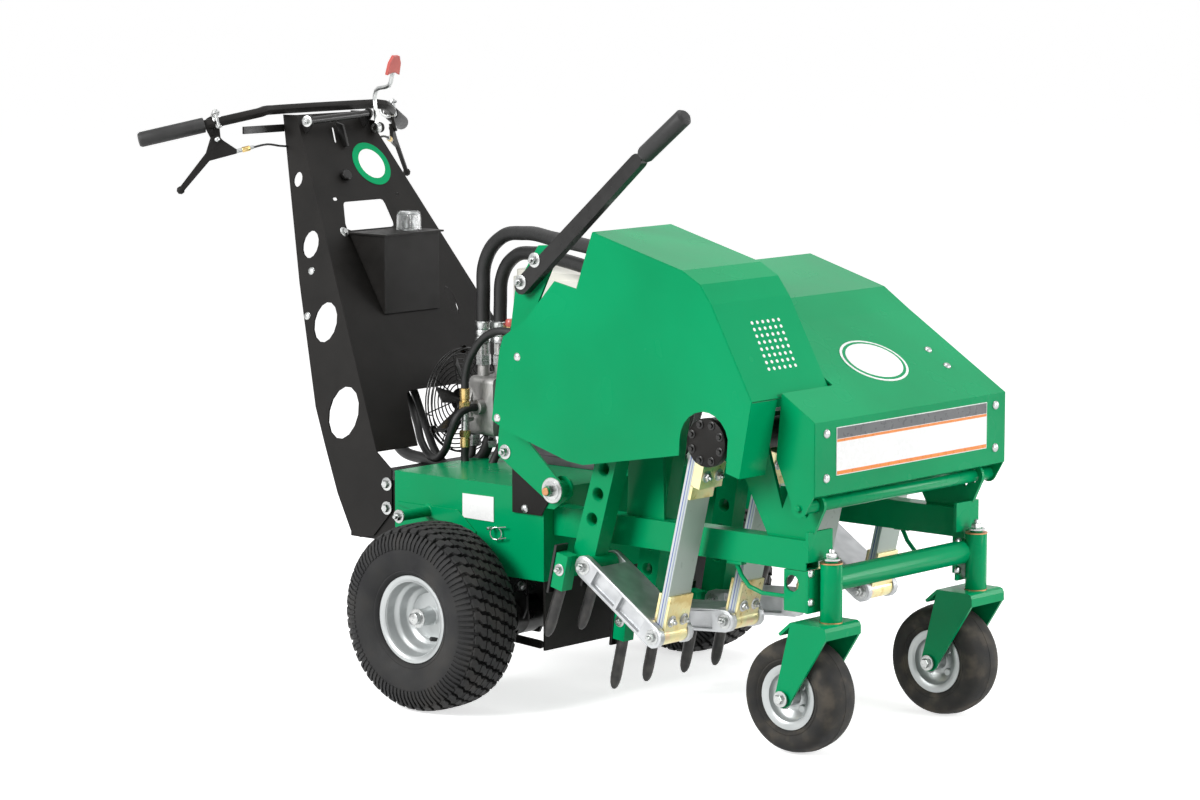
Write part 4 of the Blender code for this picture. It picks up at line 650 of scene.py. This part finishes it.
def flex_limb(index):
    """The laminated leaf with its plated clamps, knuckle tube and bolts."""
    y = LIMB_Y[index]
    at = tilted(KNUCKLE, LEAF_LEAN)
    mesh = bmesh.new()
    block(mesh, at, -0.009, 0.009, 0.013, 0.44, y, 0.033)
    add(f"leaf_{index + 1}", mesh, LEAF, "frame", 0.0008, [f"flex_leaf_{index + 1}"])
    mesh = bmesh.new()
    for clamp in mm((-15, -9.2, 11, 85), (9.2, 15, 11, 85), (9.2, 31, 312, 362), (9.2, 15, 285, 315)):
        block(mesh, at, *clamp, y, 0.034)
    spun_y(mesh, y, mm((8.3, 35.5), (18, 35.5), (19, 34.5)), *KNUCKLE)
    add(f"leaf_clamps_{index + 1}", mesh, GOLD, "frame", 0.001)
    forward = Vector((cos(LEAF_LEAN), 0, -sin(LEAF_LEAN)))
    studs = bmesh.new()
    for up, front in ((0.034, 0.015), (0.337, 0.031)):
        for across in (-0.018, 0.018):
            x, z = at(front, up)
            bolt(studs, (x, y + across, z), forward, 0.013, "nut")
            if up < 0.1:
                x, z = at(-front, up)
                bolt(studs, (x, y + across, z), -forward, 0.013, "hex")
    add(f"leaf_bolts_{index + 1}", studs, STEEL)
    ends = (KNUCKLE, arm_foot(index))
    right, left = [[(p.x, y + face * LINK_FACE, p.y) for p in ends] for face in (-1, 1)]
    fasteners(f"link_bolts_{index + 1}", (right, RIGHT, 0.017, "nut"), (left, LEFT, 0.017, "hex"),
              body=f"link_{index + 1}")


# Hoses and fittings

def hydraulics():
    """The pressure hoses from the pump to the motor with their ribbed ferrules, and the return hose."""
    outer = mm((-194, -40, 701.3), (-194, -40, 800), (-184, -44, 870), (-132, -54, 922), (-44, -76, 939),
               (80, -125, 938), (300, -205, 930), (420, -225, 915))
    inner = mm((-164, -20, 701.3), (-164, -20, 780), (-154, -24, 840), (-112, -34, 882), (-34, -60, 897),
               (80, -110, 896), (300, -195, 882), (420, -215, 865))
    pipe("pressure_hose_outer", outer, 0.015, ["hose_outer"])
    pipe("pressure_hose_inner", inner, 0.0145, ["hose_inner"])
    line = mm((-176, -85.8, 566), (-176, -105, 566), (-182, -130, 554), (-196, -140, 516),
              (-216, -138, 476), (-256, -128, 456), (-296, -120, 481), (-326, -105, 521), (-366, -85, 561),
              (-421, -70, 616), (-456, -62, 676), (-448, -60, 716), (-429, -60, 726))
    pipe("return_hose", line, 0.0082, ["hose_return"])
    mesh = bmesh.new()
    for end in (outer[0], inner[0]):
        place = facing(end, UP)
        turned(mesh, mm((16.2, -50), (16.2, -30), (14, -28), (14, -4)), place, 6)
        ribs = mm((15.8, -4), (17.8, -3), (17.8, 8), (16.6, 10), (17.8, 12), (17.8, 22), (16.6, 24),
                  (17.8, 26), (17.8, 40), (16, 42), (14, 42))
        turned(mesh, ribs, place, 32)
    add("hose_ferrules", mesh, STEEL)


def small_lines():
    """The thin line with its brass couplings, and the two lines from the oil tank to the pump."""
    x, y = -0.183, -0.11
    upper = mm((-183, -110, 605), (-180, -110, 640), (-162, -110, 682), (-111, -110, 728), (-60, -110, 736),
               (-5, -98, 724), (32, -68, 702), (44, -36, 690))
    lower = mm((-183, -110, 488), (-183, -110, 455), (-172, -111, 434), (-150, -110, 428),
               (-128, -100, 440), (-122, -80, 470), (-128, -50, 499))
    drain = mm((-470, -30, 745), (-455, -40, 700), (-420, -55, 645), (-384, -60, 593), (-345, -60, 512),
               (-303, -60, 444), (-262, -58, 425), (-232, -50, 440), (-222, -40, 499))
    suction = mm((-450, 20, 745), (-452, 0, 660), (-452, -30, 550), (-442, -52, 480), (-415, -60, 452),
                 (-345, -62, 438), (-274, -64, 428), (-222, -62, 434), (-190, -50, 458), (-180, -36, 499))
    for name, points, radius in (("charge_line_upper", upper, 0.0085), ("charge_line_lower", lower, 0.0085),
                                 ("drain_line", drain, 0.0085), ("suction_line", suction, 0.0125)):
        pipe(name, points, radius)
    mesh = bmesh.new()
    for low, high, kind in ((0.484, 0.52, 1), (0.562, 0.609, -1)):
        place = facing((x, y, low if kind > 0 else high), (0, 0, kind))
        length = high - low
        turned(mesh, [(0.0085, 0), (0.0105, 0.001), (0.0105, length * 0.5), (0.0092, length * 0.52),
                      (0.0092, length * 0.6)], place, 24)
        turned(mesh, [(0.0092, length * 0.6), (0.0122, length * 0.61), (0.0122, length * 0.97),
                      (0.01, length), (0, length)], place, 6)
    turned(mesh, mm((12.5, 0), (12.5, 12), (10, 13), (10, 34), (0, 34)),
           facing((-0.134, -0.02, 0.7), UP), 6)
    add("brass_couplings", mesh, BRASS)
    mesh = bmesh.new()
    rod(mesh, (x, y, 0.519), (x, y, 0.563), 0.0082)
    hoop(mesh, facing((x, y, 0.541), UP), 0.0078, 0.0016, steps=24)
    rod(mesh, (x, y, 0.541), (-0.19, -0.08, 0.541), 0.0055)
    for low in ((-0.128, -0.05), (-0.222, -0.04), (-0.18, -0.036)):
        turned(mesh, mm((15, -22), (15, -8), (13, -6), (13, 2), (0, 2)), facing((*low, 0.499), UP), 6)
    turned(mesh, mm((12.5, 0), (12.5, 10), (9.5, 11), (0, 11)), facing((0.044, -0.036, 0.69), RIGHT), 6)
    add("line_fittings", mesh, STEEL)
    mesh = bmesh.new()
    turned(mesh, mm((10.5, 734), (11.8, 737), (11.8, 746), (9, 750), (0, 750.5)),
           Matrix.Translation((-0.134, -0.02, 0)), 20)
    add("relief_valve_cap", mesh, RED)


def wire_guard():
    """Concentric wire rings on eight crossing wires, a hub plate and three legs to the pump flange."""
    y, z = PUMP
    back = -0.2943
    mesh = bmesh.new()
    face = facing((back, y, z), FRONT)
    wire = 0.0015
    dish = [(0.022 + 0.0105 * i, 0.0) for i in range(8)] + mm((104, 1.5), (109.5, 7), (111, 16), (111, 27))
    for radius, height in dish:
        hoop(mesh, face, radius, wire, height)
    for i in range(8):
        angle = pi / 4 * i + 0.2
        line = [face @ polar(r, angle, h + 0.0022) for r, h in (dish[0], dish[8], dish[9], dish[11])]
        for start, end in zip(line, line[1:]):
            rod(mesh, start, end, 0.0014, 8)
    turned(mesh, mm((0, -1.2), (22.5, -1.2), (23.5, 0), (22.5, 1.2), (0, 1.2)), face, 32)
    seat = PUMP_REAR - 0.0083
    screws = bmesh.new()
    for i in range(3):
        angle = radians(90 + 120 * i)
        foot = (y + 0.056 * cos(angle), z + 0.056 * sin(angle))
        rim = (y + 0.108 * cos(angle), z + 0.108 * sin(angle))
        line = [(back + 0.012, *rim), (seat - 0.024, *rim), (seat - 0.013, *foot), (seat, *foot)]
        for start, end in zip(line, line[1:]):
            rod(mesh, start, end, 0.0042, 12)
        turned(mesh, mm((8.5, -3), (8.5, 2), (0, 2)), facing((back + 0.013, *rim), BACK), 20)
        bolt(screws, (back + 0.0115, *rim), BACK, 0.008, "dome")
    add("fan_wire_guard", mesh, GLOSS_BLACK, "frame", 0.0, ["fan_guard"])
    add("fan_guard_screws", screws, COPPER)


def squared(mesh, centre, half, corner, height):
    """A ring of points round a square with round corners."""
    ring = []
    for quarter in range(4):
        for step in range(5):
            angle = pi / 2 * (quarter + step / 4)
            turn = Vector((cos(quarter * pi / 2 + pi / 4), sin(quarter * pi / 2 + pi / 4)))
            middle = turn * (half - corner) * sqrt(2)
            ring.append(mesh.verts.new((centre[0] + middle.x + corner * cos(angle),
                                        centre[1] + middle.y + corner * sin(angle), height)))
    return ring


def breather_cap():
    """A clear square cap with its drawn wall, over a plated stem, spring and dip valve."""
    centre = (-0.465, 0.018)
    mesh = bmesh.new()
    outside = mm((20.8, 6, 915.8), (20, 6, 947), (18.5, 6, 953.5), (15, 5.5, 957))
    inside = mm((17.8, 4.5, 915.8), (17.2, 4.5, 945), (16, 4.5, 950), (13, 4, 952.8))
    for walls in (outside, inside):
        rings = [squared(mesh, centre, *wall) for wall in walls]
        for low, high in zip(rings, rings[1:]):
            skin(mesh, low, high)
        mesh.faces.new(rings[-1])
        if walls is outside:
            first = rings[0]
    skin(mesh, first, rings[0])
    add("breather_cap", mesh, CLEAR, "frame", 0.0, ["tank_cap"])
    mesh = bmesh.new()
    place = Matrix.Translation((*centre, 0))
    turned(mesh, mm((16.5, 915.2), (16.5, 918), (12, 919), (7, 920), (7, 933), (10.5, 934), (10.5, 936),
                    (4, 937), (4, 947), (0, 947.5)), place, 28)
    for i in range(5):
        hoop(mesh, place, 0.0092, 0.0011, 0.922 + 0.0026 * i, 24)
    add("breather_stem", mesh, STEEL)
    mesh = bmesh.new()
    rod(mesh, (-0.4545, 0.01, 0.9185), (-0.453, 0.006, 0.944), 0.0035, 12)
    rod(mesh, (-0.453, 0.006, 0.944), (-0.46, 0.004, 0.9465), 0.003, 12)
    add("breather_valve", mesh, RUBBER)


# Small fittings

def mirrored(point, side):
    """A place on the machine's right, or the same place on its left."""
    return Vector((point[0], -side * point[1], point[2]))


LEVER_AXES = ((-0.525, -0.822, -0.22), (0.777, -0.59, 0.22), (0.3106, 0.0554, -0.9485))
LEVER_SPOTS = ((-0.7645, -0.2615, 1.1498), (-0.757, -0.268, 1.11))


def handlebar_fittings():
    """Lever clamps and cable adjusters on the bar, and the rod, bail, knob and disc on the tower head."""
    for side, word in SIDES:
        along, axis, down = (mirrored(way, side) for way in LEVER_AXES)
        clamp, pivot = (mirrored(spot, side) for spot in LEVER_SPOTS)
        mesh = bmesh.new()
        place = facing(clamp, along)
        turned(mesh, mm((11.8, -9), (15.5, -9), (16.5, -7.5), (16.5, 7.5), (15.5, 9), (11.8, 9)),
               place, 28, closed=True)
        ear = clamp + axis * 0.016
        rod(mesh, ear - down * 0.017, ear + down * 0.016, 0.0042, 16)
        rod(mesh, clamp + axis * 0.004 - down * 0.014, ear - down * 0.014, 0.0065, 16)
        rod(mesh, clamp + axis * 0.004 + down * 0.012, ear + down * 0.012, 0.0065, 16)
        bolt(mesh, ear - down * 0.016, -down, 0.01, "hex")
        bolt(mesh, pivot + axis * 0.0062, axis, 0.0085, "dome")
        start = pivot - along * 0.0365 + down * 0.034
        rod(mesh, start + along * 0.01, start - along * 0.012, 0.0046, 16)
        rod(mesh, start - along * 0.026, start - along * 0.037, 0.0042, 16)
        add(f"lever_clamp_{word}", mesh, STEEL)
        mesh = bmesh.new()
        turned(mesh, mm((0, 10), (5.2, 10), (6, 11), (6, 26), (5, 28), (0, 28)), facing(start, -along), 12)
        add(f"cable_adjuster_{word}", mesh, BRASS)
    mesh = bmesh.new()
    rod(mesh, (-0.645, -0.108, 1.147), (-0.645, 0.088, 1.156), 0.008)
    for y, z in ((-0.1, 1.1475), (0.08, 1.1555)):
        prism(mesh, capsule((-0.645, z), (-0.672, z - 0.028), 0.012), y - 0.002, y + 0.002)
    prism(mesh, mm((-660, 1140), (-640, 1135), (-625, 1090), (-640, 1086)), -0.006, 0.0)
    prism(mesh, mm((-719, 1122), (-714, 1122), (-714, 1138), (-719, 1138)), -0.229, -0.108)
    knob = facing((-0.603, -0.0417, 1.0242), (0.852, 0, 0.523))
    turned(mesh, mm((5, -2), (5, 6), (12.5, 8), (13, 14), (10.5, 17), (0, 17.5)), knob, 10)
    add("tower_head_fittings", mesh, GLOSS_BLACK, "frame", 0.0006)
    fasteners("head_rod_bolt", ([(-0.645, -0.108, 1.147)], (0.25, -0.95, 0.0), 0.013, "nut"))
    slope = Vector((-0.523, 0, 0.852))
    out = Vector((0.852, 0, 0.523))
    centre = Vector((-0.6143, 0.0556, 1.0477)) + out * 0.0012
    ellipse_plate("tower_disc_ring", GREEN, centre, (0, 0.052, 0), slope * 0.052, "frame")
    ellipse_plate("tower_disc", WHITE, centre + out * 0.0005, (0, 0.036, 0), slope * 0.036, "frame")


def lift_fittings():
    """The lift arm's pivot washer, and the bolts that hold the lift bar to the arm."""
    mesh = bmesh.new()
    pivot = facing((0.263, -0.3352, 0.464), RIGHT)
    turned(mesh, mm((26, -1), (26, 2.2), (25, 3), (10, 3), (0, 3)), pivot, 36)
    bolt(mesh, (0.263, -0.338, 0.464), RIGHT, 0.021, "hex")
    add("lift_pivot_washer", mesh, STEEL)
    mesh = bmesh.new()
    turned(mesh, mm((8.2, 12), (8.2, 21.5), (7, 22.5), (0, 22.5)), pivot, 20)
    add("lift_pivot_stud", mesh, COPPER)
    fasteners("lift_bolts", (mm((137, -335.2, 529), (198, -355.5, 875), (235, -355.5, 921)), RIGHT, 0.016,
                             "nut"), body="lift_lever")


def chassis_fittings():
    """Stub pin, plain film, ring pin and shield on the chassis side, and the wheel motors under it."""
    face = CHASSIS_FACE
    mesh = bmesh.new()
    rod(mesh, (-0.104, face + 0.004, 0.38), (-0.104, -0.392, 0.38), 0.0105)
    turned(mesh, mm((16.5, -2), (15, 1.5), (11, 4), (0, 4)), facing((-0.104, face, 0.38), RIGHT), 28)
    prism(mesh, mm((-190, 392), (-20, 392), (30, 352), (30, 346), (-190, 386)), face - 0.003, face + 0.001)
    add("stub_pin", mesh, GREEN, "frame", 0.0006)
    fasteners("stub_pin_bolt", ([(-0.104, -0.392, 0.38)], RIGHT, 0.015, "nut"))
    corners = mm((-7.5, 427.6), (78, 428.2), (77.8, 377.2), (-7.8, 378.3))
    plate("chassis_film", WHITE, [(x, face, z) for x, z in reversed(corners)], "frame", 0.001)
    mesh = bmesh.new()
    hoop(mesh, facing((0.0905, face - 0.008, 0.356), (0.3, -1, 0)), 0.0125, 0.0013, steps=28)
    rod(mesh, (0.078, face + 0.003, 0.366), (0.078, face - 0.02, 0.366), 0.003, 12)
    rod(mesh, (0.094, face - 0.008, 0.368), (0.118, face - 0.008, 0.372), 0.0013, 8)
    rod(mesh, (0.094, face - 0.008, 0.344), (0.118, face - 0.008, 0.35), 0.0013, 8)
    add("ring_pin", mesh, STEEL)
    mesh = bmesh.new()
    prism(mesh, mm((131, 404), (209, 404), (232, 440), (150, 520), (131, 520)),
          face - 0.0035, face - 0.0005)
    add("chassis_shield", mesh, BLACK, "frame", 0.0005)
    fasteners("shield_bolt", ([(0.166, face - 0.0035, 0.414)], RIGHT, 0.012, "dome"))
    for side, word in SIDES:
        mesh = bmesh.new()
        turned(mesh, mm((0, 0), (30, 0), (36, 4), (36, 52), (39.5, 54), (39.5, 92), (36, 96), (34, 118),
                        (18, 121), (16, 129), (0, 129)), facing((0.096, side * 0.17, 0.184),
                                                                (0, side, 0)), 32)
        for y in (0.205, 0.275):
            prism(mesh, mm((50, 276), (142, 276), (142, 205), (112, 142), (80, 142), (50, 205)),
                  side * y - 0.003, side * y + 0.003)
        prism(mesh, capsule((0.1, 0.146), (0.196, 0.14), 0.008), side * 0.296 - 0.003, side * 0.296 + 0.003)
        add(f"wheel_motor_{word}", mesh, GLOSS_BLACK, "frame", 0.0008)
        bolts = [(0.062, side * 0.278, 0.25), (0.13, side * 0.278, 0.25)]
        fasteners(f"wheel_motor_bolts_{word}", (bolts, (0, side, 0), 0.011, "hex"))


def front_fittings():
    """Bracket bolts behind the casters and the ring washers at the ends of each head tube."""
    for side, word in SIDES:
        y = -0.2655 if side < 0 else 0.2075
        fasteners(f"front_bracket_bolts_{word}",
                  ([(0.8585, y, 0.357), (0.8585, y, 0.301)], FRONT, 0.012, "dome"))
        mesh = bmesh.new()
        for z in (0.3765, 0.2625):
            turned(mesh, mm((12, -1.2), (22.5, -1.2), (22.5, 1.2), (12, 1.2)),
                   Matrix.Translation((KING_PIN_X, side * CASTER_Y, z)), 32, closed=True)
        add(f"head_washers_{word}", mesh, COPPER)


def hood_trim():
    """A plain oval on the front hood's slope and a field of dots on the crank hood."""
    slope = Vector((0.849, 0, -0.528))
    out = Vector((0.528, 0, 0.849))
    centre = Vector((0.7747, 0.0363, 0.7287))
    for name, paint, lift, half, wide in (("hood_oval", WHITE, 0.0, 0.065, 0.085),
                                          ("hood_oval_ring", GREEN, 0.0004, 0.06, 0.079),
                                          ("hood_oval_field", WHITE, 0.0008, 0.054, 0.072)):
        ellipse_plate(name, paint, centre + out * lift, slope * half, (0, wide, 0), "hood_front")
    mesh = bmesh.new()
    top, bottom = Vector((0.7349, -0.2946, 0.8282)), Vector((0.7819, -0.3014, 0.7446))
    for row in range(8):
        start = top.lerp(bottom, row / 7)
        for column in range(6):
            spot = start + Vector((0, 0.0162 * column, 0))
            turned(mesh, mm((3.6, -1), (3.6, 0.5), (0, 0.6)), facing(spot, (0.872, 0, 0.49)), 14)
    add("hood_dots", mesh, WHITE)


def box_ring(x0, x1, z0, z1, corner):
    """A rectangle's outline with round corners."""
    outline = []
    for cx, cz, first in ((x1, z1, 0), (x0, z1, 1), (x0, z0, 2), (x1, z0, 3)):
        for i in range(6):
            angle = pi / 2 * (first + i / 5)
            out = Vector((cos(angle), sin(angle))) * corner
            inset = Vector((corner if cx == x0 else -corner, corner if cz == z0 else -corner))
            outline.append((cx + inset.x + out.x, cz + inset.y + out.y))
    return outline


def engine_fittings():
    """Recoil cover, air cleaner, silencer with louvres, cylinder fins, cover bolts and the filler cap."""
    side = 0.2645
    mesh = bmesh.new()
    cover = facing((0.1745, 0.1, 0.58), FRONT)
    turned(mesh, mm((100, -2), (100, 10), (94, 18), (62, 26), (58, 31), (32, 31), (28, 28),
                    (0, 28)), cover, 44)
    for radius, height in ((0.07, 0.0242), (0.078, 0.0222), (0.086, 0.0202)):
        hoop(mesh, cover, radius, 0.0016, height)
    for i in range(5):
        low = 0.5 + 0.019 * i
        prism(mesh, box_ring(-0.07, 0.13, low, low + 0.006, 0.002), side - 0.002, side + 0.024)
    rod(mesh, (-0.085, side - 0.004, 0.49), (-0.085, side + 0.02, 0.5), 0.011)
    add("engine_covers", mesh, ENGINE, "frame", 0.0008)
    mesh = bmesh.new()
    prism(mesh, box_ring(-0.09, 0.03, 0.615, 0.722, 0.016), side - 0.001, side + 0.04)
    prism(mesh, box_ring(-0.093, 0.033, 0.612, 0.725, 0.018), side + 0.016, side + 0.02)
    turned(mesh, mm((6, 38), (10, 42), (12, 50), (8, 54), (0, 54.5)),
           facing((-0.03, side, 0.668), LEFT), 10)
    turned(mesh, mm((30, -10), (30, 3), (28, 7), (12, 8), (0, 8)),
           Matrix.Translation((0.022, 0.105, 0.87)), 18)
    add("air_cleaner_and_cap", mesh, GLOSS_BLACK, "frame", 0.0015)
    mesh = bmesh.new()
    prism(mesh, box_ring(0.052, 0.16, 0.612, 0.706, 0.018), side - 0.001, side + 0.034)
    for i in range(6):
        low = 0.624 + 0.013 * i
        prism(mesh, box_ring(0.068, 0.144, low, low + 0.005, 0.002), side + 0.032, side + 0.0375)
    rod(mesh, (0.14, side + 0.016, 0.618), (0.146, side + 0.03, 0.585), 0.011)
    add("silencer", mesh, CAST, "frame", 0.0012)
    spots = [(-0.1152, y, z) for y in (0.085, 0.225) for z in (0.49, 0.64)]
    fasteners("engine_bolts", (spots, BACK, 0.012, "hex"))


# Decals and plates

def plate(name, paint, corners, body, thickness):
    """A thin flat plate from its corners, given in order round its outer face."""
    mesh = bmesh.new()
    points = [Vector(c) for c in corners]
    normal = (points[1] - points[0]).cross(points[2] - points[1]).normalized()
    upper = [mesh.verts.new(p + normal * thickness) for p in points]
    lower = [mesh.verts.new(p - normal * 0.0005) for p in points]
    mesh.faces.new(upper)
    mesh.faces.new(list(reversed(lower)))
    skin(mesh, lower, upper)
    add(name, mesh, paint, body)


def front_plate():
    """A plain sign plate: white film with a slate band and two orange lines."""
    def panel(name, paint, y0, y1, z0, z1, out):
        plate(name, paint, [(PANEL_X, y0, z0), (PANEL_X, y1, z0), (PANEL_X, y1, z1), (PANEL_X, y0, z1)],
              "hood_front", out)

    panel("sign_plate", WHITE, -0.242, 0.242, 0.546, 0.638, FILM)
    panel("sign_band", SLATE, -0.2405, 0.2405, 0.616, 0.6365, 0.0015)
    panel("sign_line_upper", ORANGE, -0.2405, 0.2405, 0.61, 0.615, 0.0015)
    panel("sign_line_lower", ORANGE, -0.2405, 0.2405, 0.5475, 0.5545, 0.0015)


def ellipse_plate(name, paint, centre, along, up, body):
    """A thin plate with an ellipse for its outline, from its two half axes."""
    corners = []
    for i in range(48):
        angle = 2 * pi * i / 48
        corners.append(Vector(centre) + Vector(along) * cos(angle) + Vector(up) * sin(angle))
    plate(name, paint, corners, body, FILM)


# Stage

LAMPS = (("key", (-1.2, -5.0, 3.2), 2.6, 300.0), ("top", (0.4, 0.3, 4.6), 3.2, 70.0),
         ("front", (5.0, 0.4, 1.9), 2.2, 95.0), ("left", (3.4, 4.6, 1.6), 2.4, 90.0))
LAMP_AIM = Vector((0.0, 0.0, 0.5))
LENS = 118.611
CAMERA_PLACE = (5.3871, -6.0949, 1.6618)
CAMERA_TURN = (radians(90 - 7.5009), 0, radians(41.1121))


def stage():
    """The camera, the white surround, the pale floor and four round lamps."""
    scene = bpy.context.scene
    scene.view_settings.view_transform = "Standard"
    data = bpy.data.cameras.new("camera")
    data.sensor_width = 36.0
    data.lens = LENS
    camera = bpy.data.objects.new("camera", data)
    camera.location = CAMERA_PLACE
    camera.rotation_euler = CAMERA_TURN
    scene.collection.objects.link(camera)
    scene.camera = camera

    world = bpy.data.worlds.new("studio")
    scene.world = world
    world.use_nodes = True
    tree = world.node_tree
    back = tree.nodes["Background"]
    set_inputs(back, {"Color": PURE_WHITE})
    tree.links.new(span(tree, background_rays(tree), 0.36, 1.0, 0.0, 1.0), back.inputs["Strength"])

    made, tree, shader = nodes_of("pale_floor")
    seen = background_rays(tree)
    tree.links.new(ramp(tree, seen, [(0.0, (0.42, 0.42, 0.42)), (1.0, (0.86, 0.86, 0.86))]),
                   shader.inputs["Base Color"])
    set_inputs(shader, {"Roughness": 0.9, "Specular IOR Level": 0.1, "Emission Color": PURE_WHITE})
    tree.links.new(span(tree, seen, 0.0, 0.66, 0.0, 1.0), shader.inputs["Emission Strength"])
    mesh = bmesh.new()
    bmesh.ops.create_grid(mesh, x_segments=1, y_segments=1, size=40.0)
    floor_data = bpy.data.meshes.new("floor")
    mesh.to_mesh(floor_data)
    mesh.free()
    floor_data.materials.append(made)
    floor = bpy.data.objects.new("floor", floor_data)
    scene.collection.objects.link(floor)

    for name, place, size, power in LAMPS:
        lamp = bpy.data.lights.new(name, "AREA")
        lamp.shape = "DISK"
        lamp.size = size
        lamp.energy = power
        light = bpy.data.objects.new(name, lamp)
        light.location = place
        aim = LAMP_AIM - Vector(place)
        light.rotation_euler = aim.to_track_quat("-Z", "Y").to_euler()
        scene.collection.objects.link(light)


def frame_fasteners():
    """Bolts of the tower, frame, hoods, casters and carrier caps."""
    flange = (0, -0.9652, 0.2616)
    far_flange = (0, 0.9652, 0.2616)
    front = (0.8521, 0, 0.5233)
    near = [(-0.5512, -0.1907, 0.8362), (-0.539, -0.216, 0.7429)]
    far = [(x, -y, z) for x, y, z in near]
    fasteners("tower_bolts", (near, flange, 0.012, "dome"), (far, far_flange, 0.012, "dome"),
              ([(-0.5329, -0.1113, 0.9152), (-0.5329, 0.1113, 0.9152)], front, 0.012, "hex"))
    for side, word in SIDES:
        fasteners(f"frame_bolts_{word}", ([(-0.2393, side * 0.2872, 0.4207),
                                           (-0.2398, side * 0.2872, 0.3703)], (0, side, 0), 0.015, "hex"))
        fasteners(f"king_pin_nut_{word}", ([(KING_PIN_X, side * CASTER_Y, 0.384)], UP, 0.019, "nut"),
                  body=f"caster_fork_{word}")
    fasteners("hood_side_bolts",
              ([(0.2178, -0.3863, 0.731), (0.1638, -0.3863, 0.6051)], RIGHT, 0.012, "dome"))
    slope = (0.5284, 0, 0.849)
    fasteners("hood_front_bolts",
              ([(0.7677, 0.223, 0.7331), (0.8135, 0.2246, 0.7046)], slope, 0.011, "dome"),
              ([(PANEL_X, y, z) for y in (-0.272, 0.272) for z in (0.629, 0.544)], FRONT, 0.012, "dome"),
              body="hood_front")
    cap = KNUCKLE + Vector((0.039 * cos(LEAF_LEAN) + 0.412 * sin(LEAF_LEAN),
                            0.412 * cos(LEAF_LEAN) - 0.039 * sin(LEAF_LEAN)))
    for side, word in SIDES:
        ring = []
        for i in range(8):
            angle = radians(22.5 + 45 * i)
            ring.append((cap.x + 0.037 * cos(angle), side * 0.3822, cap.y + 0.037 * sin(angle)))
        fasteners(f"carrier_cap_bolts_{word}", (ring, (0, side, 0), 0.009, "hex"), paint=GLOSS_BLACK)


carry_over()
for wheel_side, wheel_name in SIDES:
    turf_tyre(wheel_side, wheel_name)
    rear_rim(wheel_side, wheel_name)
    caster_wheel(wheel_side, wheel_name)
for limb in range(4):
    tine_arm(limb)
    flex_limb(limb)
hydraulics()
small_lines()
engine_fittings()
wire_guard()
breather_cap()
handlebar_fittings()
lift_fittings()
chassis_fittings()
front_fittings()
front_plate()
hood_trim()
frame_fasteners()
stage()
